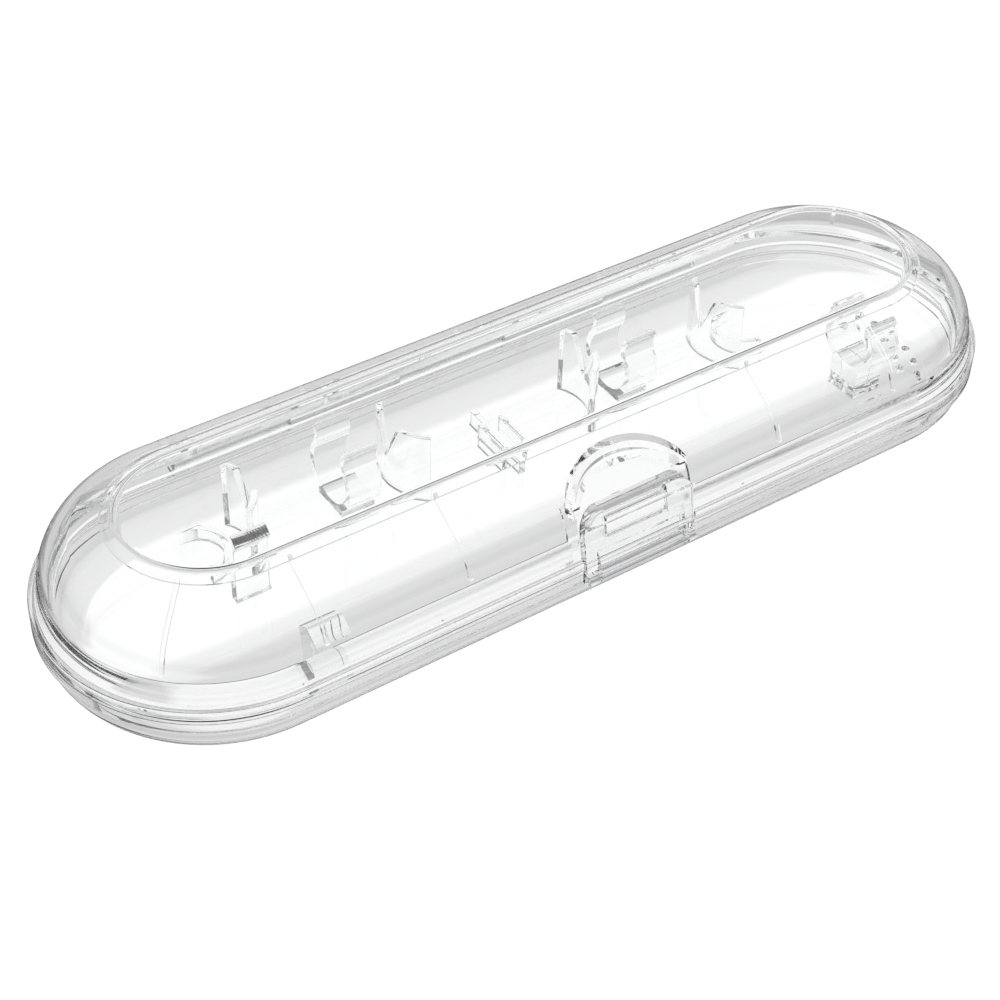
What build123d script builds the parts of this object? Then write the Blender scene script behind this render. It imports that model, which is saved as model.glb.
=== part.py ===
"""Clear travel case for an electric toothbrush: two moulded shells on a pinned back hinge,
a snap flap at the front, and the holders that stand on the floor of the base.

Frame: X runs along the case, -Y is the latch side, +Y the hinge side, +Z is up, and the
origin is the middle of the flat underside. Units are millimetres.
"""
from build123d import *
import math
import os

# ---------------------------------------------------------------- shells
LENGTH = 215.0  # overall length of the rim
RIM_RADIUS = 34.0  # half the rim's width, and the radius of both rounded ends
BASE_HEIGHT = 12.7  # underside to parting plane
LID_HEIGHT = 21.8  # parting plane to flat top
WALL = 1.8
FLANGE_STEP = 0.6  # how far the rim stands out from the wall
BASE_FLANGE = 2.5  # height of the base's rim
LID_FLANGE = 2.8  # height of the lid's rim
FIT = 0.3  # clearance between pieces that move past each other

STRAIGHT = LENGTH - 2 * RIM_RADIUS
WALL_RADIUS = RIM_RADIUS - FLANGE_STEP  # outside of the wall at the parting plane
PAST = 5.0  # how far a section is drawn on past the parting plane
SPAN = 400.0  # larger than the case, for cutting tools

# lid section
LID_DRAFT = 11.5  # lean of the side wall, degrees
LID_SLOPE = 31.0  # lean of the slope under the flat top, degrees
TOP_HALF_WIDTH = 17.2
BEVEL_WIDTH = 2.3  # bevel round the flat top
BEVEL_DROP = 1.8
SHOULDER_RADIUS = 13.0

# base section
BASE_DRAFT = 5.5
KNEE_HEIGHT = 5.8  # where the side wall turns in
FOOT_HALF_WIDTH = 27.0  # flat underside, before its corner is rounded
KNEE_RADIUS = 8.0
FOOT_RADIUS = 3.0

FLOOR = WALL  # top of the base's floor
TOP = BASE_HEIGHT + LID_HEIGHT

# ---------------------------------------------------------------- rim lap joint
TONGUE_HEIGHT = 1.2
TONGUE_THICKNESS = 0.8
TONGUE_SINK = 0.5  # how deep the tongue's root is drawn into the wall
TONGUE_SETBACK = 0.1  # tongue's inner face, from the inside of the wall
TONGUE_RADIUS = WALL_RADIUS - WALL + TONGUE_SETBACK + TONGUE_THICKNESS
REBATE_HEADROOM = 0.2

# ---------------------------------------------------------------- back hinge
HINGE_LENGTH = 130.0
HINGE_KNUCKLES = 5  # base and lid in turn, starting and ending with the base
KNUCKLE_GAP = 0.3
BARREL_RADIUS = 2.15
HINGE_SETBACK = BARREL_RADIUS + 0.35  # axis behind the rim's face
HINGE_PIN_RADIUS = 0.9
PIN_GRIP = 0.02  # radial clearance where a pin is held
PIN_RUN = 0.06  # radial clearance where a pin turns
PIN_INSET = 0.3  # pin end, inside the end knuckle's face

HINGE_Y = RIM_RADIUS + HINGE_SETBACK

# ---------------------------------------------------------------- latch
FLAP_WIDTH = 26.0
FLAP_PROUD = 1.3  # flap's outer face, out from the lid's wall
FLAP_SEAT = 0.5  # flap's inner face, in from the lid's wall
FLAP_CORNER = 4.5
FLAP_TOP = 12.4  # above the parting plane
LIP_HEIGHT = 2.4  # finger lip along the flap's top
LIP_PROUD = 0.9
CATCH_WIDTH = 14.3
CATCH_LOW = 5.0  # above the parting plane
CATCH_HIGH = 9.2
CATCH_REACH = 1.2  # how far the catch stands in from the flap
CATCH_TOP_ROOM = 1.0
LATCH_BARREL_RADIUS = 1.2
LATCH_DROP = 1.5  # latch axis below the parting plane
LATCH_PIN_RADIUS = 0.5
LATCH_EAR = 2.3  # width of each ear on the base

LATCH_Y = -(WALL_RADIUS + FIT + LATCH_BARREL_RADIUS)
LATCH_Z = BASE_HEIGHT - LATCH_DROP
FLAP_TOP_Z = BASE_HEIGHT + FLAP_TOP
POCKET_WIDTH = FLAP_WIDTH + 2 * FIT + 0.1
LATCH_KNUCKLE = FLAP_WIDTH - 2 * LATCH_EAR - 2 * KNUCKLE_GAP
POCKET_FLOOR = FLAP_SEAT + FIT  # pocket's face, in from the lid's wall

# finger niche above the flap, half an ellipse in plan, its floor falling towards the flap
NICHE_HALF_WIDTH = 14.8
NICHE_DEPTH = 12.0
NICHE_BACK_HEIGHT = 14.4  # floor at the back of the niche, above the parting plane
NICHE_FRONT_HEIGHT = 10.9  # floor under the lid's front face
NICHE_WALL = 1.1
NICHE_FOOT_HEIGHT = 7.5  # lower end of the wall round the niche, at the lid's front

# ---------------------------------------------------------------- land inside the lid's mouth
LAND_PROUD = 1.9  # how far it stands in from the inside of the wall at the parting plane
LAND_STRAIGHT = 4.0  # upper end of its straight face, above the parting plane
LAND_TOP = 6.9  # where it runs out into the wall

# ---------------------------------------------------------------- lid ribs
RIB_THICKNESS = 0.8
RIB_RISE = 0.7
RIB_ROOT = 0.4  # depth of the rib's root in the wall
RIB_END_GAP = 6.5  # outer rib, from the end of the straight
RIB_PITCH = (36.6, STRAIGHT / 2 - RIB_END_GAP)  # along the case, from its middle
END_RIB_ANGLE = 45.0
RIB_FOOT = 7.6  # rib's lower end, above the parting plane

# ---------------------------------------------------------------- drain holes
HOLE_RADIUS = 1.0
HOLE_ROWS = ((24.0, 7, 72.0), (20.1, 6, 60.0))  # radius, count, angle from first to last

# ---------------------------------------------------------------- holders on the floor
HOLDER_RISE = 5.0  # cradles' tops above the parting plane
CLIP_LENGTH = 7.5
CLIP_OPENING = 35.0  # how far each arm wraps above the middle, degrees

HANDLE_Y = -8.85  # toothbrush handle's axis
NECK_CLIP_END = 29.5  # clip's middle, from the end of the case
NECK_CLIP_INNER = 5.65
NECK_CLIP_WALL = 1.8
NECK_AXIS_HEIGHT = 13.8  # above the floor
BODY_CLIP_END = 43.7
BODY_CLIP_GAP = 24.7
BODY_ARM_THICKNESS = 2.0
BODY_ARM_RISE = 6.0  # arms' tops above the parting plane
BODY_ARM_HOOK = 0.9
BODY_BLOCK_DEPTH = 5.2
BODY_BLOCK_FOOT = 3.5

HEAD_Y = 18.3  # spare brush heads' axis
HEAD_CLIP_X = 34.4
HEAD_CLIP_INNER = 6.25
HEAD_CLIP_WALL = 1.5
HEAD_AXIS_HEIGHT = 7.9  # above the floor
CLIP_LIP = 4.2  # radius of a clip's flared lip
CLIP_LIP_ANGLE = 75.0
CLIP_FOOT_HEIGHT = 1.5

CRADLE_WALL = 1.4
HEAD_CRADLE_END = 40.9  # from the end of the case
HEAD_CRADLE_RADIUS = 11.0
FOOT_CRADLE_X = 13.6
FOOT_CRADLE_RADIUS = 11.7
CRADLE_SWEEP = 55.0  # each way from the middle, degrees
NOTCH_WIDTH = 7.0
NOTCH_DEPTH = 9.0
HEAD_REST_END = 39.0
HEAD_REST_RADIUS = 7.0
HEAD_REST_HEIGHT = 3.0
WALL_CLEAR = 24.3  # farthest a straight-sided holder stands from the middle line

DIVIDER_THICKNESS = 1.5
DIVIDER_FRONT = 5.5
DIVIDER_HEIGHT = 4.0
FOOT_STOP_GAP = 1.1  # foot stop's near face, from the divider
FOOT_STOP_THICKNESS = 1.3
FOOT_STOP_FRONT = 8.6
FOOT_STOP_LENGTH = 9.0
FOOT_STOP_HEIGHT = 6.0

HOLDER_TOP = BASE_HEIGHT + HOLDER_RISE
BODY_ARM_TOP = BASE_HEIGHT + BODY_ARM_RISE
NECK_AXIS_Z = FLOOR + NECK_AXIS_HEIGHT
HEAD_AXIS_Z = FLOOR + HEAD_AXIS_HEIGHT
NECK_CLIP_X = LENGTH / 2 - NECK_CLIP_END
BODY_CLIP_X = BODY_CLIP_END - LENGTH / 2
HEAD_CRADLE_X = LENGTH / 2 - HEAD_CRADLE_END
HEAD_REST_X = LENGTH / 2 - HEAD_REST_END


def both_sides(points):
    """A closed outline from the points of its +Y half, lowest first."""
    return points + [(-y, z) for y, z in reversed(points)]


def lid_section(inset):
    """Lid's outer cross-section drawn in by inset, on past the parting plane."""
    lean = math.tan(math.radians(LID_DRAFT))
    fall = math.tan(math.radians(LID_SLOPE))
    slope_y = TOP_HALF_WIDTH + BEVEL_WIDTH
    slope_z = LID_HEIGHT - BEVEL_DROP
    corner = (slope_z - (WALL_RADIUS - slope_y) * fall) / (1 - lean * fall)
    half = [
        (WALL_RADIUS + PAST * lean, BASE_HEIGHT - PAST),
        (WALL_RADIUS - corner * lean, BASE_HEIGHT + corner),
        (slope_y, BASE_HEIGHT + slope_z),
        (TOP_HALF_WIDTH, TOP),
    ]
    with BuildSketch() as section:
        with BuildLine():
            Polyline(*both_sides(half), close=True)
        make_face()
        if inset:
            offset(amount=-inset, kind=Kind.INTERSECTION)
        shoulders = section.vertices().group_by(Axis.Y)[1]
        fillet(shoulders, radius=SHOULDER_RADIUS - inset)
    return section.sketch


def base_section(inset):
    """Base's outer cross-section drawn in by inset, on past the parting plane."""
    lean = math.tan(math.radians(BASE_DRAFT))
    half = [
        (FOOT_HALF_WIDTH, 0.0),
        (WALL_RADIUS - (BASE_HEIGHT - KNEE_HEIGHT) * lean, KNEE_HEIGHT),
        (WALL_RADIUS + PAST * lean, BASE_HEIGHT + PAST),
    ]
    with BuildSketch() as section:
        with BuildLine():
            Polyline(*both_sides(half), close=True)
        make_face()
        if inset:
            offset(amount=-inset, kind=Kind.INTERSECTION)
        feet = section.vertices().group_by(Axis.Y)[0]
        fillet(feet, radius=FOOT_RADIUS - inset)
        knees = section.vertices().filter_by_position(Axis.Y, KNEE_HEIGHT - 2, KNEE_HEIGHT + 2)
        fillet(knees, radius=KNEE_RADIUS - inset)
    return section.sketch


def dish(section):
    """A section run along the straight middle and turned about both rounded ends."""
    with BuildPart() as body:
        with BuildSketch(Plane.YZ.offset(-STRAIGHT / 2)):
            add(section)
        extrude(amount=STRAIGHT)
        for side, keep in ((1, Align.MAX), (-1, Align.MIN)):
            with BuildSketch(Plane.YZ.offset(side * STRAIGHT / 2)):
                add(section)
                Rectangle(SPAN, SPAN, align=(keep, Align.CENTER), mode=Mode.INTERSECT)
            revolve(axis=Axis((side * STRAIGHT / 2, 0, 0), (0, 0, 1)), revolution_arc=180)
    return body.part


def lid_void_section():
    """Inside of the lid in section, narrowed by the land round its mouth."""
    lean = math.tan(math.radians(LID_DRAFT))
    face = WALL_RADIUS - WALL - LAND_PROUD
    wall = WALL_RADIUS - WALL / math.cos(math.radians(LID_DRAFT)) - LAND_TOP * lean
    with BuildSketch() as section:
        add(lid_section(WALL))
        for side in (1, -1):
            with BuildLine():
                Polyline(
                    (side * face, BASE_HEIGHT - SPAN),
                    (side * face, BASE_HEIGHT + LAND_STRAIGHT),
                    (side * wall, BASE_HEIGHT + LAND_TOP),
                    (side * SPAN, BASE_HEIGHT + LAND_TOP),
                    (side * SPAN, BASE_HEIGHT - SPAN),
                    close=True,
                )
            make_face(mode=Mode.SUBTRACT)
    return section.sketch


def front_band(outer, inner, low, high, edge=0.0):
    """Section of a skin along the lid's front, between two insets and two heights."""
    with BuildSketch() as band:
        add(lid_section(outer))
        add(lid_section(inner), mode=Mode.SUBTRACT)
        with Locations((-edge, low)):
            Rectangle(SPAN, high - low, align=(Align.MAX, Align.MIN), mode=Mode.INTERSECT)
    return band.sketch


def outside(section, low, high):
    """Everything in front of a section, between two heights, as a cutting outline."""
    with BuildSketch() as region:
        with Locations((0, low)):
            Rectangle(SPAN, high - low, align=(Align.MAX, Align.MIN))
        add(section, mode=Mode.SUBTRACT)
    return region.sketch


def knuckle_spans(first):
    """Start and length of every second knuckle of the back hinge."""
    length = (HINGE_LENGTH - (HINGE_KNUCKLES - 1) * KNUCKLE_GAP) / HINGE_KNUCKLES
    step = length + KNUCKLE_GAP
    return [(-HINGE_LENGTH / 2 + i * step, length) for i in range(first, HINGE_KNUCKLES, 2)]


def knuckle(start, length, side):
    """One barrel and its web to the rim: side is 1 for the lid, -1 for the base."""
    web_z = BASE_HEIGHT + side * FIT
    with BuildPart() as piece:
        with BuildSketch(Plane.YZ.offset(start)):
            with Locations((HINGE_Y, BASE_HEIGHT)):
                Circle(BARREL_RADIUS)
            with BuildLine():
                Polyline(
                    (RIM_RADIUS - FLANGE_STEP, web_z),
                    (HINGE_Y, web_z),
                    (HINGE_Y, BASE_HEIGHT + side * BARREL_RADIUS),
                    (RIM_RADIUS - FLANGE_STEP, BASE_HEIGHT + side * BARREL_RADIUS),
                    close=True,
                )
            make_face()
        extrude(amount=length)
    return piece.part


def end_plane(side, angle):
    """Upright plane through an end's centre, its x axis leaning by angle from the case's axis."""
    turn = math.radians(angle)
    out = Vector(side * math.cos(turn), math.sin(turn), 0)
    return Plane(origin=(side * STRAIGHT / 2, 0, 0), x_dir=out, z_dir=out.cross(Vector(0, 0, 1)))


def finger_niche(grow, front):
    """Scoop above the flap, its floor at height front under the lid's face, grown by a wall."""
    with BuildPart() as niche:
        with BuildSketch(Plane.XY.offset(BASE_HEIGHT)):
            with Locations((0, -WALL_RADIUS)):
                Ellipse(NICHE_HALF_WIDTH + grow, NICHE_DEPTH + grow)
        extrude(amount=SPAN)
        with BuildSketch(Plane.YZ.offset(-SPAN / 2)):
            with BuildLine():
                Polyline(
                    (-WALL_RADIUS, BASE_HEIGHT + front),
                    (-WALL_RADIUS + NICHE_DEPTH, BASE_HEIGHT + NICHE_BACK_HEIGHT - grow),
                    (0, BASE_HEIGHT + NICHE_BACK_HEIGHT - grow),
                    (0, SPAN),
                    (-SPAN, SPAN),
                    (-SPAN, BASE_HEIGHT + front),
                    close=True,
                )
            make_face()
        extrude(amount=SPAN, mode=Mode.INTERSECT)
    return niche.part


def c_clip(inner, wall, axis_y, axis_z, lip):
    """Spring clip outline: a C open at the top with flared lips, on a pedestal."""
    mid = inner + wall / 2
    with BuildSketch() as outline:
        with BuildLine() as centre:
            CenterArc((axis_y, axis_z), mid, 180 - CLIP_OPENING, 180 + 2 * CLIP_OPENING)
            for side in (1, -1):
                turn = math.radians(CLIP_OPENING)
                start = (axis_y + side * mid * math.cos(turn), axis_z + mid * math.sin(turn))
                heading = (-side * math.sin(turn), math.cos(turn))
                JernArc(start, heading, lip, -side * CLIP_LIP_ANGLE)
        trace(centre.line, line_width=wall)
        with Locations((axis_y, FLOOR)):
            Rectangle(2 * inner * math.cos(math.radians(45)), axis_z - mid - FLOOR + wall / 2,
                      align=(Align.CENTER, Align.MIN))
            Rectangle(1.5 * inner, CLIP_FOOT_HEIGHT, align=(Align.CENTER, Align.MIN))
    return outline.sketch


def clip_part(outline, x):
    """A clip outline run along the case, centred at x."""
    with BuildPart() as clip:
        with BuildSketch(Plane.YZ.offset(x - CLIP_LENGTH / 2)):
            add(outline)
        extrude(amount=CLIP_LENGTH)
    return clip.part


def cradle(x, radius, facing):
    """Curved wall round a brush head, with a V notch for its neck: facing is 1 towards +X."""
    height = HOLDER_TOP - FLOOR
    crown = x + facing * (radius - CRADLE_WALL / 2)
    with BuildPart() as wall:
        with BuildSketch(Plane.XY.offset(FLOOR)):
            with Locations((x, HEAD_Y)):
                Circle(radius)
                Circle(radius - CRADLE_WALL, mode=Mode.SUBTRACT)
            reach = SPAN * math.cos(math.radians(CRADLE_SWEEP))
            spread = SPAN * math.sin(math.radians(CRADLE_SWEEP))
            with BuildLine():
                Polyline(
                    (x, HEAD_Y),
                    (x + facing * reach, HEAD_Y - spread),
                    (x + facing * reach, HEAD_Y + spread),
                    close=True,
                )
            make_face(mode=Mode.INTERSECT)
            with Locations((0, WALL_CLEAR)):
                Rectangle(SPAN, SPAN, align=(Align.CENTER, Align.MAX), mode=Mode.INTERSECT)
        extrude(amount=height)
        with BuildSketch(Plane.YZ.offset(crown - 2 * CRADLE_WALL)):
            with BuildLine():
                Polyline(
                    (HEAD_Y - NOTCH_WIDTH / 2, HOLDER_TOP),
                    (HEAD_Y, HOLDER_TOP - NOTCH_DEPTH),
                    (HEAD_Y + NOTCH_WIDTH / 2, HOLDER_TOP),
                    close=True,
                )
            make_face()
        extrude(amount=4 * CRADLE_WALL, mode=Mode.SUBTRACT)
    return wall.part


def head_rest(x, facing):
    """Low curved pad under the round of a brush head, open towards the case's end."""
    with BuildPart() as pad:
        with BuildSketch(Plane.XY.offset(FLOOR)):
            with Locations((x, HEAD_Y)):
                Circle(HEAD_REST_RADIUS)
                Circle(HEAD_REST_RADIUS - CRADLE_WALL, mode=Mode.SUBTRACT)
                Rectangle(SPAN, SPAN, align=(Align.MAX if facing > 0 else Align.MIN, Align.CENTER),
                          mode=Mode.SUBTRACT)
            with Locations((0, WALL_CLEAR)):
                Rectangle(SPAN, SPAN, align=(Align.CENTER, Align.MAX), mode=Mode.INTERSECT)
        extrude(amount=HEAD_REST_HEIGHT)
    return pad.part


os.makedirs("parts", exist_ok=True)

# ---------------------------------------------------------------- base shell
base_form = dish(base_section(0))
base_void = dish(base_section(WALL))
base_knuckles = [knuckle(start, length, -1) for start, length in knuckle_spans(0)]

with BuildPart() as base_shell:
    add(base_form)
    split(bisect_by=Plane.XY.offset(BASE_HEIGHT), keep=Keep.BOTTOM)
    with BuildSketch(Plane.XY.offset(BASE_HEIGHT)):
        SlotOverall(LENGTH, 2 * RIM_RADIUS)
    extrude(amount=-BASE_FLANGE)
    # tongue of the lap joint
    with BuildSketch(Plane.XY.offset(BASE_HEIGHT - TONGUE_SINK)):
        SlotOverall(STRAIGHT + 2 * TONGUE_RADIUS, 2 * TONGUE_RADIUS)
    extrude(amount=TONGUE_SINK + TONGUE_HEIGHT)
    # the rim stops where the latch hangs
    with BuildSketch(Plane.YZ.offset(-POCKET_WIDTH / 2)):
        add(outside(base_section(0), BASE_HEIGHT - BASE_FLANGE - 1, BASE_HEIGHT))
    extrude(amount=POCKET_WIDTH, mode=Mode.SUBTRACT)
    add(base_void, mode=Mode.SUBTRACT)
    with BuildSketch(Plane.XY.offset(BASE_HEIGHT)):
        SlotOverall(STRAIGHT + 2 * (TONGUE_RADIUS - TONGUE_THICKNESS),
                    2 * (TONGUE_RADIUS - TONGUE_THICKNESS))
    extrude(amount=TONGUE_HEIGHT, mode=Mode.SUBTRACT)
    # ears that carry the latch pin
    for ear_start in (-FLAP_WIDTH / 2, FLAP_WIDTH / 2 - LATCH_EAR):
        with BuildSketch(Plane.YZ.offset(ear_start)):
            with Locations((LATCH_Y, LATCH_Z)):
                Circle(LATCH_BARREL_RADIUS)
                Rectangle(-LATCH_Y - WALL_RADIUS + WALL / 2, 2 * LATCH_BARREL_RADIUS,
                          align=(Align.MIN, Align.CENTER))
        extrude(amount=LATCH_EAR)
    with BuildSketch(Plane.YZ.offset(-FLAP_WIDTH / 2)):
        with Locations((LATCH_Y, LATCH_Z)):
            Circle(LATCH_PIN_RADIUS + PIN_GRIP)
    extrude(amount=FLAP_WIDTH, mode=Mode.SUBTRACT)
    # back hinge
    for piece in base_knuckles:
        add(piece)
    with BuildSketch(Plane.YZ.offset(-HINGE_LENGTH / 2)):
        with Locations((HINGE_Y, BASE_HEIGHT)):
            Circle(HINGE_PIN_RADIUS + PIN_GRIP)
    extrude(amount=HINGE_LENGTH, mode=Mode.SUBTRACT)
    # two rows of drain holes round the end of the floor
    with BuildSketch(Plane.XY):
        with Locations((STRAIGHT / 2, 0)):
            for radius, count, sweep in HOLE_ROWS:
                with PolarLocations(radius, count, -sweep / 2, sweep, endpoint=True):
                    Circle(HOLE_RADIUS)
    extrude(amount=WALL + 1, mode=Mode.SUBTRACT)
base_shell.part.label = "base_shell"

# ---------------------------------------------------------------- lid shell
lid_form = dish(lid_section(0))
lid_knuckles = [knuckle(start, length, 1) for start, length in knuckle_spans(1)]
REBATE_RADIUS = TONGUE_RADIUS + FIT
BACKING = WALL - FIT  # wall behind the latch pocket

with BuildPart() as lid_void:
    add(dish(lid_void_section()))
    add(finger_niche(NICHE_WALL, NICHE_FOOT_HEIGHT), mode=Mode.SUBTRACT)
    with BuildSketch(Plane.YZ.offset(-POCKET_WIDTH / 2 - WALL)):
        add(outside(lid_section(POCKET_FLOOR + BACKING), BASE_HEIGHT - PAST, FLAP_TOP_Z))
    extrude(amount=POCKET_WIDTH + 2 * WALL, mode=Mode.SUBTRACT)

with BuildPart() as lid_shell:
    add(lid_form)
    split(bisect_by=Plane.XY.offset(BASE_HEIGHT), keep=Keep.TOP)
    with BuildSketch(Plane.XY.offset(BASE_HEIGHT)):
        SlotOverall(LENGTH, 2 * RIM_RADIUS)
    extrude(amount=LID_FLANGE)
    add(finger_niche(0, NICHE_FRONT_HEIGHT), mode=Mode.SUBTRACT)
    # pocket that the flap closes into
    with BuildSketch(Plane.YZ.offset(-POCKET_WIDTH / 2)):
        add(outside(lid_section(POCKET_FLOOR), BASE_HEIGHT, FLAP_TOP_Z))
    extrude(amount=POCKET_WIDTH, mode=Mode.SUBTRACT)
    add(lid_void.part, mode=Mode.SUBTRACT)
    # rebate that fits over the base's tongue
    with BuildSketch(Plane.XY.offset(BASE_HEIGHT)):
        SlotOverall(STRAIGHT + 2 * REBATE_RADIUS, 2 * REBATE_RADIUS)
    extrude(amount=TONGUE_HEIGHT + REBATE_HEADROOM, mode=Mode.SUBTRACT)
    # keeper slot for the catch
    with BuildSketch(Plane.XY.offset(BASE_HEIGHT + CATCH_LOW - FIT)):
        Rectangle(CATCH_WIDTH + 2 * FIT, SPAN, align=(Align.CENTER, Align.MAX))
        with Locations((0, -WALL_RADIUS + 2 * WALL + CATCH_HIGH * math.tan(math.radians(LID_DRAFT)))):
            Rectangle(SPAN, SPAN, align=(Align.CENTER, Align.MAX), mode=Mode.INTERSECT)
    extrude(amount=CATCH_HIGH - CATCH_LOW + FIT + CATCH_TOP_ROOM, mode=Mode.SUBTRACT)
    # stiffening ribs inside the slope
    rib_band = front_band(WALL - RIB_ROOT, WALL + RIB_RISE, BASE_HEIGHT + RIB_FOOT, TOP,
                          edge=TOP_HALF_WIDTH)
    for x in RIB_PITCH:
        for plane in (Plane.YZ.offset(x), Plane.YZ.offset(-x)):
            with BuildSketch(plane):
                add(rib_band)
                mirror(about=Plane.YZ)
            extrude(amount=RIB_THICKNESS / 2, both=True)
    with BuildSketch(Plane.YZ):
        add(mirror(rib_band, about=Plane.YZ, mode=Mode.PRIVATE))
    extrude(amount=RIB_THICKNESS / 2, both=True)
    for side in (1, -1):
        for angle in (END_RIB_ANGLE, -END_RIB_ANGLE):
            with BuildSketch(end_plane(side, angle)):
                add(mirror(rib_band, about=Plane.YZ, mode=Mode.PRIVATE))
            extrude(amount=RIB_THICKNESS / 2, both=True)
    # back hinge
    for piece in lid_knuckles:
        add(piece)
    with BuildSketch(Plane.YZ.offset(-HINGE_LENGTH / 2)):
        with Locations((HINGE_Y, BASE_HEIGHT)):
            Circle(HINGE_PIN_RADIUS + PIN_RUN)
    extrude(amount=HINGE_LENGTH, mode=Mode.SUBTRACT)
lid_shell.part.label = "lid_shell"

# ---------------------------------------------------------------- latch flap
with BuildPart() as latch_flap:
    with BuildSketch(Plane.YZ.offset(-FLAP_WIDTH / 2)):
        add(front_band(-FLAP_PROUD, FLAP_SEAT, BASE_HEIGHT + FIT, FLAP_TOP_Z))
    extrude(amount=FLAP_WIDTH)
    with BuildSketch(Plane.YZ.offset(-FLAP_WIDTH / 2)):
        add(front_band(-FLAP_PROUD - LIP_PROUD, FLAP_SEAT, FLAP_TOP_Z - LIP_HEIGHT, FLAP_TOP_Z))
    extrude(amount=FLAP_WIDTH)
    with BuildSketch(Plane.XZ.offset(WALL_RADIUS / 2)) as outline:
        with Locations((0, FLAP_TOP_Z)):
            Rectangle(FLAP_WIDTH, FLAP_TOP, align=(Align.CENTER, Align.MAX))
        fillet(outline.vertices().group_by(Axis.Y)[-1], radius=FLAP_CORNER)
    extrude(amount=WALL_RADIUS, mode=Mode.INTERSECT)
    with BuildSketch(Plane.YZ.offset(-CATCH_WIDTH / 2)):
        add(front_band(FLAP_SEAT - FIT, FLAP_SEAT + CATCH_REACH,
                       BASE_HEIGHT + CATCH_LOW, BASE_HEIGHT + CATCH_HIGH))
    extrude(amount=CATCH_WIDTH)
    with BuildSketch(Plane.YZ.offset(-LATCH_KNUCKLE / 2)):
        with Locations((LATCH_Y, LATCH_Z)):
            Circle(LATCH_BARREL_RADIUS)
        with BuildLine():
            Polyline(
                (LATCH_Y + LATCH_BARREL_RADIUS, LATCH_Z),
                (LATCH_Y + LATCH_BARREL_RADIUS, BASE_HEIGHT + FIT),
                (-WALL_RADIUS + FLAP_SEAT / 2, BASE_HEIGHT + 2 * FIT),
                (-WALL_RADIUS - FLAP_PROUD / 2, BASE_HEIGHT + 4 * LATCH_BARREL_RADIUS),
                (LATCH_Y - LATCH_BARREL_RADIUS, BASE_HEIGHT + FIT),
                (LATCH_Y - LATCH_BARREL_RADIUS, LATCH_Z),
                close=True,
            )
        make_face()
        with Locations((LATCH_Y, LATCH_Z)):
            Circle(LATCH_PIN_RADIUS + PIN_RUN, mode=Mode.SUBTRACT)
    extrude(amount=LATCH_KNUCKLE)
latch_flap.part.label = "latch_flap"

# ---------------------------------------------------------------- pins
with BuildPart() as lid_hinge_pin:
    with BuildSketch(Plane.YZ.offset(-HINGE_LENGTH / 2 + PIN_INSET)):
        with Locations((HINGE_Y, BASE_HEIGHT)):
            Circle(HINGE_PIN_RADIUS)
    extrude(amount=HINGE_LENGTH - 2 * PIN_INSET)
    chamfer(lid_hinge_pin.edges().filter_by(GeomType.CIRCLE), length=HINGE_PIN_RADIUS / 4)
lid_hinge_pin.part.label = "lid_hinge_pin"

with BuildPart() as latch_pin:
    with BuildSketch(Plane.YZ.offset(-FLAP_WIDTH / 2 + PIN_INSET)):
        with Locations((LATCH_Y, LATCH_Z)):
            Circle(LATCH_PIN_RADIUS)
    extrude(amount=FLAP_WIDTH - 2 * PIN_INSET)
    chamfer(latch_pin.edges().filter_by(GeomType.CIRCLE), length=LATCH_PIN_RADIUS / 4)
latch_pin.part.label = "latch_pin"

# ---------------------------------------------------------------- holders for the handle
neck_outline = c_clip(NECK_CLIP_INNER, NECK_CLIP_WALL, HANDLE_Y, NECK_AXIS_Z, CLIP_LIP / 2)
handle_neck_clip = clip_part(neck_outline, NECK_CLIP_X)
handle_neck_clip.label = "handle_neck_clip"

BACK_ARM_Y = HANDLE_Y + BODY_CLIP_GAP / 2
FRONT_BLOCK_Y = HANDLE_Y - BODY_CLIP_GAP / 2
with BuildPart() as handle_back_clip:
    with BuildSketch(Plane.YZ.offset(BODY_CLIP_X - CLIP_LENGTH / 2)):
        with BuildLine():
            Polyline(
                (BACK_ARM_Y, FLOOR),
                (BACK_ARM_Y + BODY_ARM_THICKNESS, FLOOR),
                (BACK_ARM_Y + BODY_ARM_THICKNESS, BODY_ARM_TOP - BODY_ARM_THICKNESS),
                (BACK_ARM_Y + BODY_ARM_THICKNESS - BODY_ARM_HOOK, BODY_ARM_TOP),
                (BACK_ARM_Y - BODY_ARM_HOOK, BODY_ARM_TOP - BODY_ARM_THICKNESS),
                (BACK_ARM_Y, BODY_ARM_TOP - 2 * BODY_ARM_THICKNESS),
                close=True,
            )
        make_face()
    extrude(amount=CLIP_LENGTH)
handle_back_clip.part.label = "handle_back_clip"

with BuildPart() as handle_front_clip:
    with BuildSketch(Plane.YZ.offset(BODY_CLIP_X - CLIP_LENGTH / 2)):
        with BuildLine():
            Polyline(
                (FRONT_BLOCK_Y, FLOOR),
                (FRONT_BLOCK_Y - BODY_BLOCK_FOOT, FLOOR),
                (FRONT_BLOCK_Y - BODY_BLOCK_DEPTH, FLOOR + 2 * BODY_ARM_THICKNESS),
                (FRONT_BLOCK_Y - BODY_BLOCK_DEPTH, BODY_ARM_TOP - BODY_ARM_THICKNESS),
                (FRONT_BLOCK_Y - BODY_ARM_THICKNESS, BODY_ARM_TOP),
                (FRONT_BLOCK_Y + BODY_ARM_HOOK, BODY_ARM_TOP - BODY_ARM_THICKNESS),
                (FRONT_BLOCK_Y, BODY_ARM_TOP - 2 * BODY_ARM_THICKNESS),
                close=True,
            )
        make_face()
    extrude(amount=CLIP_LENGTH)
handle_front_clip.part.label = "handle_front_clip"

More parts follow.
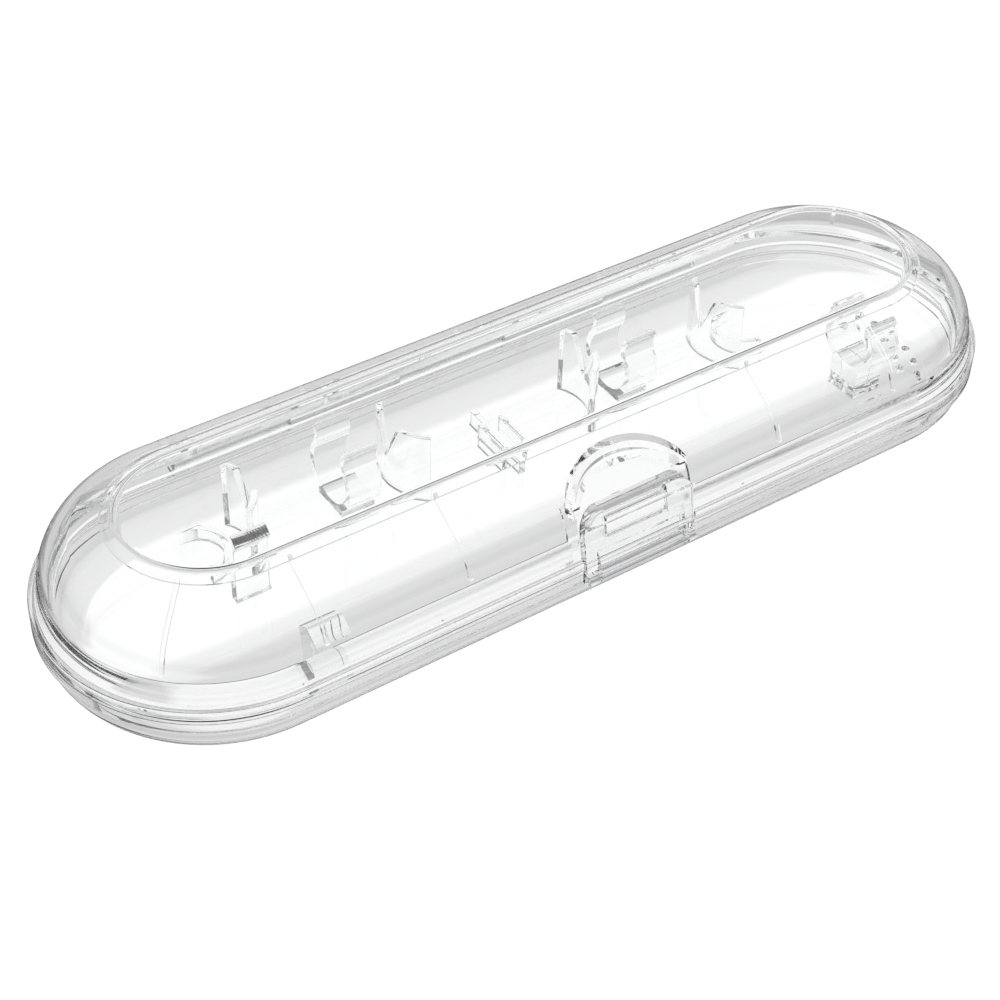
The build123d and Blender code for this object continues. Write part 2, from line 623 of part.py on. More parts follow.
# ---------------------------------------------------------------- holders for two spare heads
head_outline = c_clip(HEAD_CLIP_INNER, HEAD_CLIP_WALL, HEAD_Y, HEAD_AXIS_Z, CLIP_LIP)
holders = []
for name, side in (("left", -1), ("right", 1)):
    head_clip = clip_part(head_outline, side * HEAD_CLIP_X)
    head_clip.label = f"head_clip_{name}"
    head_cradle = cradle(side * HEAD_CRADLE_X, HEAD_CRADLE_RADIUS, -side)
    head_cradle.label = f"head_cradle_{name}"
    foot_cradle = cradle(side * FOOT_CRADLE_X, FOOT_CRADLE_RADIUS, side)
    foot_cradle.label = f"foot_cradle_{name}"
    rest = head_rest(side * HEAD_REST_X, -side)
    rest.label = f"head_rest_{name}"
    with BuildPart() as foot_stop:
        stop_x = side * (DIVIDER_THICKNESS / 2 + FOOT_STOP_GAP + FOOT_STOP_THICKNESS / 2)
        with BuildSketch(Plane.XY.offset(FLOOR)):
            with Locations((stop_x, FOOT_STOP_FRONT)):
                Rectangle(FOOT_STOP_THICKNESS, FOOT_STOP_LENGTH, align=(Align.CENTER, Align.MIN))
        extrude(amount=FOOT_STOP_HEIGHT)
    foot_stop.part.label = f"foot_stop_{name}"
    holders += [head_clip, head_cradle, foot_cradle, rest, foot_stop.part]

with BuildPart() as centre_divider:
    with BuildSketch(Plane.XY.offset(FLOOR)):
        with Locations((0, DIVIDER_FRONT)):
            Rectangle(DIVIDER_THICKNESS, WALL_CLEAR - DIVIDER_FRONT, align=(Align.CENTER, Align.MIN))
    extrude(amount=DIVIDER_HEIGHT)
centre_divider.part.label = "centre_divider"

# ---------------------------------------------------------------- write every piece
export_step(base_shell.part, "parts/base_shell.step")
export_step(lid_shell.part, "parts/lid_shell.step")
export_step(latch_flap.part, "parts/latch_flap.step")
export_step(lid_hinge_pin.part, "parts/lid_hinge_pin.step")
export_step(latch_pin.part, "parts/latch_pin.step")
export_step(handle_neck_clip, "parts/handle_neck_clip.step")
export_step(handle_back_clip.part, "parts/handle_back_clip.step")
export_step(handle_front_clip.part, "parts/handle_front_clip.step")
export_step(centre_divider.part, "parts/centre_divider.step")
for piece in holders:
    export_step(piece, f"parts/{piece.label}.step")
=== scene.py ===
"""Looks of a clear travel case for an electric toothbrush: fine meshes, finishes and studio.

Lengths are written in millimetres and turned into the frame's metres by MM, and angles in
degrees. X runs along the case, -Y is the latch side, +Y the hinge side, and the flat underside
lies at Z = 0.
"""
import logging
import math
from collections.abc import Callable, Sequence
from dataclasses import dataclass
from enum import Enum

import bmesh
import bpy
from mathutils import Matrix, Vector


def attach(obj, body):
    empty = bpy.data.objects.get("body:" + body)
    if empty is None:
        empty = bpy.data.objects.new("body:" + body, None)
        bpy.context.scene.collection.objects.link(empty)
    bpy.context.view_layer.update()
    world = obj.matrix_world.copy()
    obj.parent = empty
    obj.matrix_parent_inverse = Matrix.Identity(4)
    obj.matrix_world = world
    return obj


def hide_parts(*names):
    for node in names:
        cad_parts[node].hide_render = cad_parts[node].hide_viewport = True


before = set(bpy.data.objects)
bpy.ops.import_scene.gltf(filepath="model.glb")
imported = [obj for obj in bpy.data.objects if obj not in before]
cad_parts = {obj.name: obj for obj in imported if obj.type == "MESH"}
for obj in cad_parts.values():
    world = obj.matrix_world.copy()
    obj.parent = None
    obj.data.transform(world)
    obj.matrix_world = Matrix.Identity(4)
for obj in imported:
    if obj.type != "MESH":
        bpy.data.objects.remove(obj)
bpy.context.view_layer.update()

MM = 0.001  # metres in a millimetre
WELD = 0.002  # corners nearer than this are one corner
SAME = 1e-6  # points nearer than this are one point
SMOOTH_ANGLE = 24.0  # edges that turn by more degrees than this stay sharp
FACE_WEIGHT = 90  # over 50, large faces count for more in the shading
EDGE_SEGMENTS = 2  # faces across a rounded edge
LOG = logging.getLogger("travel_case")

Point = tuple[float, float]
Stops = tuple[Point, ...]
Ring = list[Vector]
Socket = bpy.types.NodeSocket


class Cut(Enum):
    """Ways of putting one closed form together with another."""

    JOIN = "UNION"
    CUT = "DIFFERENCE"


class Body(Enum):
    """Bodies that move on their own."""

    BASE = "base"
    LID = "lid"
    LATCH = "latch"


# ---------------------------------------------------------------- outlines
def lean(degrees: float) -> float:
    """Sideways run of a face for each millimetre of height."""
    return math.tan(math.radians(degrees))


def spaced(start: float, end: float, steps: int) -> list[float]:
    """Evenly spaced values from a start to an end."""
    return [start + (end - start) * step / steps for step in range(steps + 1)]


def drawn_in(chain: Sequence[Point], inset: float) -> list[Point]:
    """Move an outline sideways, to the left of its direction.

    Args:
        chain: the outline's corners.
        inset: how far each side moves.

    Returns:
        The corners of the moved outline.
    """
    starts: list[Vector] = []
    headings: list[Vector] = []
    for first, second in zip(chain, chain[1:]):
        heading = (Vector(second) - Vector(first)).normalized()
        starts.append(Vector(first) + inset * Vector((-heading.y, heading.x)))
        headings.append(heading)
    moved = [tuple(starts[0])]
    for start, heading, after, turn in zip(starts, headings, starts[1:], headings[1:]):
        gap = after - start
        along = (gap.x * turn.y - gap.y * turn.x) / (heading.x * turn.y - heading.y * turn.x)
        moved.append(tuple(start + along * heading))
    end = Vector(chain[-1]) + inset * Vector((-headings[-1].y, headings[-1].x))
    return moved + [tuple(end)]


def rounded(chain: Sequence[Point], radii: Sequence[float], steps: int) -> list[Point]:
    """Round the inner corners of an outline.

    Args:
        chain: the outline's corners.
        radii: one radius for each corner between the two ends, 0 for a sharp one.
        steps: segments in a quarter turn.

    Returns:
        The outline with each rounded corner as a run of short segments.
    """
    points = [tuple(chain[0])]
    for before, corner, after, radius in zip(chain, chain[1:], chain[2:], radii):
        if not radius:
            points.append(tuple(corner))
            continue
        back = (Vector(before) - Vector(corner)).normalized()
        on = (Vector(after) - Vector(corner)).normalized()
        half = back.angle(on) / 2
        middle = Vector(corner) + (back + on).normalized() * radius / math.sin(half)
        start = Vector(corner) + back * radius / math.tan(half) - middle
        sweep = math.pi - 2 * half
        side = 1 if back.x * on.y - back.y * on.x < 0 else -1
        count = max(2, round(steps * sweep / (math.pi / 2)))
        for step in range(count + 1):
            turn = Matrix.Rotation(side * sweep * step / count, 2)
            points.append(tuple(middle + turn @ start))
    return points + [tuple(chain[-1])]


def between(points: Sequence[Point], low: float, high: float) -> list[Point]:
    """Part of a rising outline that lies between two heights.

    Args:
        points: the outline, from its low end to its high end.
        low: the lower height.
        high: the upper height.

    Returns:
        The part's corners, with new ones at the two heights.
    """
    kept: list[Point] = []
    for (y, z), (next_y, next_z) in zip(points, points[1:]):
        if next_z <= max(low, z) or z >= high:
            continue
        span = next_z - z
        for level in (max(low, z), min(high, next_z)):
            share = (level - z) / span
            point = (y + share * (next_y - y), level)
            if not kept or math.dist(kept[-1], point) > SAME:
                kept.append(point)
    return kept


def arc(middle: Point, radius: float, start: float, end: float, steps: int) -> list[Point]:
    """Points of a circular arc, its angles in degrees."""
    turns = [math.radians(turn) for turn in spaced(start, end, steps)]
    return [(middle[0] + radius * math.cos(t), middle[1] + radius * math.sin(t)) for t in turns]


def circle(middle: Point, radius: float, count: int) -> list[Point]:
    """Evenly spaced points of a full circle."""
    return arc(middle, radius, 0.0, 360.0 - 360.0 / count, count - 1)


# ---------------------------------------------------------------- closed forms
class Form:
    """A closed mesh that is cut and joined until it is one piece of the case."""

    def __init__(self, name: str, rings: Sequence[Ring]) -> None:
        """Skin a run of rings with as many points each, and close both ends.

        Args:
            name: the object's name.
            rings: loops of points in millimetres.
        """
        build = bmesh.new()
        loops = [[build.verts.new(point * MM) for point in ring] for ring in rings]
        for lower, upper in zip(loops, loops[1:]):
            for i in range(len(lower)):
                build.faces.new((lower[i - 1], lower[i], upper[i], upper[i - 1]))
        build.faces.new(loops[0])
        build.faces.new(loops[-1])
        bmesh.ops.recalc_face_normals(build, faces=build.faces)
        mesh = bpy.data.meshes.new(name)
        build.to_mesh(mesh)
        build.free()
        self.obj = bpy.data.objects.new(name, mesh)
        bpy.context.scene.collection.objects.link(self.obj)

    @classmethod
    def along_x(cls, name: str, outline: Sequence[Point], start: float, length: float) -> "Form":
        """Run a (y, z) outline along the case."""
        spans = (start, start + length)
        return cls(name, [[Vector((x, y, z)) for y, z in outline] for x in spans])

    @classmethod
    def along_z(cls, name: str, outline: Sequence[Point], low: float, high: float) -> "Form":
        """Run an (x, y) outline upwards."""
        return cls(name, [[Vector((x, y, z)) for x, y in outline] for z in (low, high)])

    def evaluate(self) -> None:
        """Put the result of the object's modifiers into its mesh."""
        graph = bpy.context.evaluated_depsgraph_get()
        mesh = bpy.data.meshes.new_from_object(self.obj.evaluated_get(graph))
        old = self.obj.data
        self.obj.modifiers.clear()
        self.obj.data = mesh
        mesh.name = self.obj.name
        bpy.data.meshes.remove(old)

    def combine(self, how: Cut, *tools: "Form") -> "Form":
        """Join this form with others, or cut them from it, and use them up.

        Args:
            how: the operation.
            tools: the other forms, in order.

        Returns:
            This form.
        """
        for tool in tools:
            modifier = self.obj.modifiers.new(how.name, "BOOLEAN")
            modifier.operation = how.value
            modifier.solver = "MANIFOLD"
            modifier.object = tool.obj
            self.evaluate()
            tool.discard()
        return self

    def discard(self) -> None:
        """Remove the form."""
        bpy.data.objects.remove(self.obj)

    def soften(self, width: float, angle: float = 40.0) -> "Form":
        """Round the edges that turn by more than an angle.

        Args:
            width: how far from the edge the rounding starts.
            angle: the turn, in degrees, that an edge has to pass.

        Returns:
            This form.
        """
        modifier = self.obj.modifiers.new("soft edges", "BEVEL")
        modifier.width = width * MM
        modifier.segments = EDGE_SEGMENTS
        modifier.limit_method = "ANGLE"
        modifier.angle_limit = math.radians(angle)
        modifier.use_clamp_overlap = True
        self.evaluate()
        return self

    def weld(self) -> None:
        """Merge corners that the cuts left on top of each other."""
        build = bmesh.new()
        build.from_mesh(self.obj.data)
        bmesh.ops.remove_doubles(build, verts=build.verts, dist=WELD * MM)
        bmesh.ops.dissolve_degenerate(build, edges=build.edges, dist=WELD * MM)
        build.to_mesh(self.obj.data)
        build.free()

    def polish(self) -> None:
        """Weld the form, shade its round faces smooth and keep its sharp edges."""
        self.weld()
        self.obj.data.shade_smooth()
        self.obj.data.set_sharp_from_angle(angle=math.radians(SMOOTH_ANGLE))
        modifier = self.obj.modifiers.new("flat faces stay flat", "WEIGHTED_NORMAL")
        modifier.keep_sharp = True
        modifier.weight = FACE_WEIGHT
        self.evaluate()

    def deliver(self, body: Body, material: bpy.types.Material, node: str) -> None:
        """Dress the form and let it stand for its node on its body.

        Args:
            body: the body that it rides on.
            material: its finish.
            node: the node that it replaces.
        """
        self.obj.data.materials.clear()
        self.obj.data.materials.append(material)
        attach(self.obj, body.value)
        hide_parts(node)
        LOG.info("%s: %d faces, for %s", self.obj.name, len(self.obj.data.polygons), node)


# ---------------------------------------------------------------- node trees
class Wiring:
    """Node tree with short ways to add nodes and arithmetic."""

    def __init__(self, tree: bpy.types.NodeTree) -> None:
        """Take up a tree."""
        self.tree = tree

    def link(self, output: Socket, target: Socket) -> None:
        """Lead an output to an input."""
        self.tree.links.new(output, target)

    def node(self, kind: str, values: dict[str | int, object] | None = None,
             **settings: object) -> bpy.types.Node:
        """Add a node, set its properties, and set or link its inputs.

        Args:
            kind: the node's type.
            values: inputs by name or number, each a constant or another node's output.
            settings: the node's own properties.

        Returns:
            The new node.
        """
        made = self.tree.nodes.new(kind)
        for name, value in settings.items():
            setattr(made, name, value)
        for name, value in (values or {}).items():
            if isinstance(value, Socket):
                self.link(value, made.inputs[name])
            else:
                made.inputs[name].default_value = value
        return made

    def math(self, operation: str, first: object, second: object = 0.0) -> Socket:
        """Add one step of arithmetic and return its result."""
        return self.node("ShaderNodeMath", {0: first, 1: second}, operation=operation).outputs[0]

    def ramp(self, value: Socket, stops: Sequence[Point]) -> Socket:
        """Add a ramp of greys.

        Args:
            value: what it reads.
            stops: pairs of place, from 0 to 1, and grey level.

        Returns:
            The grey.
        """
        made = self.node("ShaderNodeValToRGB", {"Fac": value})
        elements = made.color_ramp.elements
        while len(elements) < len(stops):
            elements.new(1.0)
        for element, (place, level) in zip(elements, stops):
            element.position = place
            element.color = (level, level, level, 1.0)
        return made.outputs["Color"]


class CopyTree(Wiring):
    """Geometry Nodes tree with named inputs, which places copies and ends in plain geometry."""

    def __init__(self, name: str) -> None:
        """Start a tree with a geometry input and output.

        Args:
            name: the tree's name.
        """
        super().__init__(bpy.data.node_groups.new(name, "GeometryNodeTree"))
        for way in ("INPUT", "OUTPUT"):
            self.tree.interface.new_socket("Geometry", in_out=way, socket_type="NodeSocketGeometry")
        self.sockets: dict[str, str] = {}
        self.entry = self.tree.nodes.new("NodeGroupInput")

    def size(self, name: str, kind: str = "NodeSocketFloat") -> Socket:
        """Add a named input and return it inside the tree.

        Args:
            name: the input's name.
            kind: its socket type.

        Returns:
            The input's socket inside the tree.
        """
        made = self.tree.interface.new_socket(name, in_out="INPUT", socket_type=kind)
        self.sockets[name] = made.identifier
        return self.entry.outputs[name]

    def close(self, instances: Socket, material: bpy.types.Material) -> None:
        """End the tree: the copies become one mesh and take a material.

        Args:
            instances: the placed copies.
            material: their finish.
        """
        real = self.node("GeometryNodeRealizeInstances", {"Geometry": instances})
        dressed = self.node("GeometryNodeSetMaterial",
                            {"Geometry": real.outputs[0], "Material": material})
        self.node("NodeGroupOutput", {0: dressed.outputs[0]})

    def run(self, form: Form, **sizes: float) -> Form:
        """Copy a form with the tree's inputs set, and keep the result as its mesh.

        Args:
            form: the form that is copied.
            sizes: the tree's inputs by name.

        Returns:
            The form, now holding all its copies.
        """
        modifier = form.obj.modifiers.new(self.tree.name, "NODES")
        modifier.node_group = self.tree
        for name, value in sizes.items():
            modifier[self.sockets[name]] = value
        form.evaluate()
        return form


def row_tree(material: bpy.types.Material) -> CopyTree:
    """Tree that repeats a form along the case, at an even pitch.

    Args:
        material: the copies' finish.

    Returns:
        The tree, with inputs count and pitch.
    """
    tree = CopyTree("row along the case")
    count = tree.size("count", "NodeSocketInt")
    pitch = tree.size("pitch")
    step = tree.node("ShaderNodeCombineXYZ", {"X": tree.math("MULTIPLY", pitch, MM)})
    line = tree.node("GeometryNodeMeshLine", {"Count": count, "Offset": step.outputs[0]})
    copies = tree.node("GeometryNodeInstanceOnPoints",
                       {"Points": line.outputs[0], "Instance": tree.entry.outputs["Geometry"]})
    tree.close(copies.outputs[0], material)
    return tree


def arc_tree(material: bpy.types.Material) -> CopyTree:
    """Tree that repeats a form on an arc about the end of the case's straight part.

    Args:
        material: the copies' finish.

    Returns:
        The tree, with inputs count, sweep in degrees, radius and centre.
    """
    tree = CopyTree("row round the end")
    count = tree.size("count", "NodeSocketInt")
    sweep = tree.size("sweep")
    radius = tree.size("radius")
    centre = tree.size("centre")
    index = tree.node("GeometryNodeInputIndex").outputs[0]
    last = tree.math("SUBTRACT", count, 1.0)
    share = tree.math("SUBTRACT", tree.math("DIVIDE", index, last), 0.5)
    turn = tree.math("RADIANS", tree.math("MULTIPLY", share, sweep))
    along = tree.math("MULTIPLY", tree.math("COSINE", turn), radius)
    across = tree.math("MULTIPLY", tree.math("SINE", turn), radius)
    place = tree.node("ShaderNodeCombineXYZ", {
        "X": tree.math("MULTIPLY", tree.math("ADD", along, centre), MM),
        "Y": tree.math("MULTIPLY", across, MM),
    })
    points = tree.node("GeometryNodePoints", {"Count": count, "Position": place.outputs[0]})
    copies = tree.node("GeometryNodeInstanceOnPoints",
                       {"Points": points.outputs[0], "Instance": tree.entry.outputs["Geometry"]})
    tree.close(copies.outputs[0], material)
    return tree


def spine_tree(material: bpy.types.Material) -> CopyTree:
    """Tree that repeats a rib at one station of the case's spine, on one side or on both.

    Args:
        material: the copies' finish.

    Returns:
        The tree, with inputs station, turn in degrees and count.
    """
    tree = CopyTree("station on the spine")
    station = tree.size("station")
    turn = tree.size("turn")
    count = tree.size("count", "NodeSocketInt")
    index = tree.node("GeometryNodeInputIndex").outputs[0]
    far_side = tree.math("MULTIPLY", tree.math("MODULO", index, 2.0), math.pi)
    place = tree.node("ShaderNodeCombineXYZ", {"X": tree.math("MULTIPLY", station, MM)})
    points = tree.node("GeometryNodePoints", {"Count": count, "Position": place.outputs[0]})
    heading = tree.node("ShaderNodeCombineXYZ", {
        "Z": tree.math("ADD", tree.math("RADIANS", turn), far_side),
    })
    copies = tree.node("GeometryNodeInstanceOnPoints", {
        "Points": points.outputs[0],
        "Instance": tree.entry.outputs["Geometry"],
        "Rotation": heading.outputs[0],
    })
    tree.close(copies.outputs[0], material)
    return tree


# ---------------------------------------------------------------- finishes
@dataclass(frozen=True)
class ClearPlastic:
    """Clear polished plastic, with faint flow waves and a faint haze from the mould."""

    name: str = "clear polished plastic"
    tint: tuple[float, ...] = (0.985, 0.988, 0.987, 1.0)
    shadow: tuple[float, ...] = (0.93, 0.93, 0.93, 1.0)
    ior: float = 1.50
    roughness: Point = (0.0, 0.012)
    haze_scale: float = 180.0
    haze_detail: float = 3.0
    haze_share: Point = (0.45, 0.75)
    wave_scale: float = 45.0
    wave_detail: float = 1.0
    wave_height: float = 0.00002
    wave_strength: float = 0.06

    def material(self) -> bpy.types.Material:
        """Build the node material.

        Returns:
            The finish.
        """
        made = bpy.data.materials.new(self.name)
        made.use_nodes = True
        wires = Wiring(made.node_tree)
        place = wires.node("ShaderNodeTexCoord").outputs["Object"]
        haze = wires.node("ShaderNodeTexNoise", {
            "Vector": place, "Scale": self.haze_scale, "Detail": self.haze_detail,
        })
        spread = wires.node("ShaderNodeMapRange", {
            "Value": haze.outputs["Fac"],
            "From Min": self.haze_share[0], "From Max": self.haze_share[1],
            "To Min": self.roughness[0], "To Max": self.roughness[1],
        })
        wave = wires.node("ShaderNodeTexNoise", {
            "Vector": place, "Scale": self.wave_scale, "Detail": self.wave_detail,
        })
        bump = wires.node("ShaderNodeBump", {
            "Height": wave.outputs["Fac"], "Strength": self.wave_strength, "Distance": self.wave_height,
        })
        shader = made.node_tree.nodes["Principled BSDF"]
        shader.inputs["Base Color"].default_value = self.tint
        shader.inputs["Transmission Weight"].default_value = 1.0
        shader.inputs["IOR"].default_value = self.ior
        wires.link(spread.outputs["Result"], shader.inputs["Roughness"])
        wires.link(bump.outputs["Normal"], shader.inputs["Normal"])
        clear = wires.node("ShaderNodeBsdfTransparent", {"Color": self.shadow})
        either = wires.node("ShaderNodeMixShader", {
            0: wires.node("ShaderNodeLightPath").outputs["Is Shadow Ray"],
            1: shader.outputs["BSDF"],
            2: clear.outputs["BSDF"],
        })
        wires.link(either.outputs[0], made.node_tree.nodes["Material Output"].inputs["Surface"])
        return made


@dataclass(frozen=True)
class DrawnSteel:
    """Drawn steel wire, with fine lines along its length."""

    name: str = "drawn steel wire"
    colour: tuple[float, ...] = (0.62, 0.63, 0.65, 1.0)
    roughness: Point = (0.18, 0.38)
    line_scale: float = 900.0
    line_stretch: tuple[float, float, float] = (0.02, 1.0, 1.0)

    def material(self) -> bpy.types.Material:
        """Build the node material.

        Returns:
            The finish.
        """
        made = bpy.data.materials.new(self.name)
        made.use_nodes = True
        wires = Wiring(made.node_tree)
        place = wires.node("ShaderNodeTexCoord").outputs["Object"]
        stretch = wires.node("ShaderNodeMapping", {"Vector": place, "Scale": self.line_stretch})
        lines = wires.node("ShaderNodeTexNoise", {
            "Vector": stretch.outputs["Vector"], "Scale": self.line_scale,
        })
        spread = wires.node("ShaderNodeMapRange", {
            "Value": lines.outputs["Fac"], "To Min": self.roughness[0], "To Max": self.roughness[1],
        })
        shader = made.node_tree.nodes["Principled BSDF"]
        shader.inputs["Base Color"].default_value = self.colour
        shader.inputs["Metallic"].default_value = 1.0
        wires.link(spread.outputs["Result"], shader.inputs["Roughness"])
        return made


# ---------------------------------------------------------------- shells
@dataclass(frozen=True)
class CasePlan:
    """Sizes that the shells share."""

    rim_radius: float = 34.0
    straight: float = 147.0
    wall: float = 1.8
    wall_radius: float = 33.4
    parting: float = 12.7
    fit: float = 0.3
    end_steps: int = 72
    tongue_radius: float = 32.5
    tongue_inner: float = 31.7
    tongue_height: float = 1.2
    hinge_y: float = 36.5
    barrel_radius: float = 2.15
    hinge_length: float = 130.0
    knuckles: int = 5
    knuckle_gap: float = 0.3
    pin_bore: float = 0.95
    pocket_width: float = 26.7
    past: float = 5.0
    clear: float = 1.0
    far: float = 60.0
    bore_reach: float = 20.0
    barrel_soft: float = 0.25
    barrel_ease: float = 0.07
    web_root: float = 0.4
    curve_steps: int = 24
    edge_steps: int = 8
    coarse_circle: int = 24
    fine_circle: int = 60
    rim_root: float = 1.0
    rim_edge: float = 0.15
    rim_fillet: float = 0.4

    @property
    def knuckle_length(self) -> float:
        """Length of one knuckle of the back hinge."""
        return (self.hinge_length - (self.knuckles - 1) * self.knuckle_gap) / self.knuckles

    def ring(self, radius: float, z: float) -> Ring:
        """Stadium loop at a distance from the case's spine.

        Args:
            radius: the distance.
            z: its height.

        Returns:
            The loop's corners.
        """
        points: Ring = []
        for side in (1, -1):
            for step in range(self.end_steps + 1):
                turn = math.pi * (step / self.end_steps - 0.5)
                x = side * (self.straight / 2 + radius * math.cos(turn))
                points.append(Vector((x, side * radius * math.sin(turn), z)))
        return points

    def turned(self, name: str, profile: Sequence[Point]) -> Form:
        """Closed form of a (radius, z) profile run round the case's spine."""
        return Form(name, [self.ring(radius, z) for radius, z in profile])

    def knuckle(self, side: int) -> Form:
        """First knuckle of the back hinge.

        Args:
            side: 1 for the lid, -1 for the base.

        Returns:
            The knuckle with its web.
        """
        length = self.knuckle_length
        start = -self.hinge_length / 2 + (length + self.knuckle_gap if side > 0 else 0)
        soft, ease = self.barrel_soft, self.barrel_ease
        rings: list[Ring] = []
        for depth, shrink in ((0.0, soft), (ease, ease), (soft, 0.0),
                              (length - soft, 0.0), (length - ease, ease), (length, soft)):
            barrel = circle((self.hinge_y, self.parting), self.barrel_radius - shrink, self.fine_circle)
            rings.append([Vector((start + depth, y, z)) for y, z in barrel])
        form = Form("knuckle", rings)
        root_y = self.wall_radius - self.web_root
        web_z = self.parting + side * self.fit
        far_z = self.parting + side * self.barrel_radius
        web = [(root_y, web_z), (self.hinge_y, web_z), (self.hinge_y, far_z), (root_y, far_z)]
        return form.combine(Cut.JOIN, Form.along_x("web", web, start, length))

    def hinge(self, side: int, material: bpy.types.Material) -> Form:
        """Every second knuckle of the back hinge.

        Args:
            side: 1 for the lid, -1 for the base.
            material: the shell's finish.

        Returns:
            The knuckles as one form.
        """
        count = self.knuckles // 2 + (0 if side > 0 else 1)
        pitch = 2 * (self.knuckle_length + self.knuckle_gap)
        return row_tree(material).run(self.knuckle(side), count=count, pitch=pitch)

    def hinge_bore(self) -> Form:
        """Hole for the hinge pin.

        Returns:
            The hole as a closed rod.
        """
        outline = circle((self.hinge_y, self.parting), self.pin_bore, self.fine_circle // 2)
        start = -self.hinge_length / 2 - self.clear
        return Form.along_x("hinge bore", outline, start, self.hinge_length + 2 * self.clear)

    def cross_bore(self, axis: Point, radius: float) -> Form:
        """Hole for the latch pin, about an axis in (y, z)."""
        reach = self.bore_reach
        return Form.along_x("latch bore", circle(axis, radius, self.coarse_circle), -reach, 2 * reach)


@dataclass
class Lid:
    """Upper shell, with its niche, latch pocket, ribs and hinge knuckles."""

    plan: CasePlan
    plastic: bpy.types.Material
    height: float = 21.8
    draft: float = 11.5
    slope: float = 31.0
    top_half_width: float = 17.2
    bevel_width: float = 2.3
    bevel_drop: float = 1.8
    shoulder: float = 13.0
    top_edge: float = 0.15
    inner_top_edge: float = 2.4
    bevel_edge: float = 0.12
    bevel_line: float = 0.28
    flange: float = 2.8
    soft: float = 0.3
    flap_top: float = 12.4
    pocket_floor: float = 0.8
    niche_half_width: float = 14.8
    niche_depth: float = 12.0
    niche_back: float = 14.4
    niche_front: float = 10.9
    niche_wall: float = 1.1
    niche_foot: float = 7.5
    niche_soft: float = 1.2
    niche_lip: float = 1.2
    niche_lip_drop: float = 0.25
    catch_width: float = 14.3
    catch_low: float = 5.0
    catch_high: float = 9.2
    catch_room: float = 1.0
    rib_thickness: float = 0.8
    rib_rise: float = 0.7
    rib_root: float = 0.4
    rib_foot: float = 7.6
    rib_pitches: tuple[float, float] = (36.6, 67.0)
    rib_angle: float = 45.0
    land_top: float = 6.9
    land_low: float = 4.0
    land_radius: float = 29.7
    land_lean: float = 3.2
    land_edge: float = 0.35
    niche_steps: int = 96
    niche_high: float = 40.0
    niche_reach: float = 20.0
    keeper_depth: float = 6.5
    rebate_room: float = 0.2
    foot_points: int = 3
    sliver: float = 1e-4

    def corners(self, line: float = 0.0) -> list[Point]:
        """Outer outline in (radius, z), from below the parting plane to the middle of the top.

        Args:
            line: height of the small step along the bevel's lower edge, 0 for none.

        Returns:
            The outline's corners.
        """
        fall = lean(self.slope)
        side = lean(self.draft)
        slope_y = self.top_half_width + self.bevel_width
        slope_z = self.height - self.bevel_drop
        # where the drafted wall would meet the slope
        corner = (slope_z - (self.plan.wall_radius - slope_y) * fall) / (1 - side * fall)
        outline = [
            (self.plan.wall_radius + self.plan.past * side, -self.plan.past),
            (self.plan.wall_radius - corner * side, corner),
            (slope_y, slope_z),
            (self.top_half_width, self.height),
            (0.0, self.height),
        ]
        if line:
            outline.insert(2, (slope_y, slope_z - line))
        return [(y, self.plan.parting + z) for y, z in outline]

    def outline(self, inset: float) -> list[Point]:
        """Outline drawn in by an inset, with its corners rounded.

        Args:
            inset: how far it is drawn in.

        Returns:
            The outline in (radius, z).
        """
        inner = inset > self.plan.wall / 2
        radii = (self.shoulder - inset, self.bevel_edge, self.inner_top_edge if inner else self.top_edge)
        return rounded(drawn_in(self.corners(), inset), radii, self.plan.curve_steps)

    def skin(self) -> list[Point]:
        """Outer outline with the small step along the bevel's lower edge."""
        radii = (self.shoulder, 0.0, 0.0, self.top_edge)
        return rounded(self.corners(self.bevel_line), radii, self.plan.curve_steps)

    def outside(self) -> Form:
        """Lid as a full block, with its rim.

        Returns:
            The block.
        """
        plan = self.plan
        low, rim = plan.parting, plan.rim_radius
        wall = between(self.skin(), low + self.flange, low + self.height - self.sliver)
        above = wall[self.foot_points:]
        edge = [(rim - plan.rim_root, low), (rim, low), (rim, low + self.flange), wall[0], above[0]]
        foot = rounded(edge, (plan.rim_edge, self.soft, plan.rim_fillet), plan.edge_steps)
        return plan.turned("clear_lid", foot[:-1] + above)

    def inside(self) -> Form:
        """Space inside the lid, round the niche and the latch pocket's backing.

        Returns:
            The space as a closed form.
        """
        low = self.plan.parting
        wall = between(self.outline(self.plan.wall), low + self.land_top,
                       low + self.height - self.plan.wall - self.sliver)
        rise = self.land_top - self.land_edge - self.land_low
        mouth = [(self.land_radius, low - self.plan.past), (self.land_radius, low + self.land_low),
                 (self.land_radius + rise * lean(self.land_lean), low + self.land_low + rise)]
        space = self.plan.turned("lid space", mouth + wall)
        space.combine(Cut.CUT, self.niche(self.niche_wall, self.niche_foot))
        reach = self.plan.pocket_width + 2 * self.plan.wall
        backing = self.front_block(self.pocket_floor + self.plan.wall - self.plan.fit, reach,
                                   -self.plan.past, self.flap_top)
        return space.combine(Cut.CUT, backing)

    def front_block(self, inset: float, width: float, low: float, high: float) -> Form:
        """Everything in front of the drawn-in outline, between two heights.

        Args:
            inset: how far the outline is drawn in.
            width: the block's width.
            low: its foot above the parting plane.
            high: its top above the parting plane.

        Returns:
            The block.
        """
        base = self.plan.parting
        face = [(-y, z) for y, z in between(self.outline(inset), base + low, base + high)]
        front = -2 * self.plan.rim_radius
        outline = [(front, base + low)] + face + [(front, base + high)]
        return Form.along_x("front block", outline, -width / 2, width)

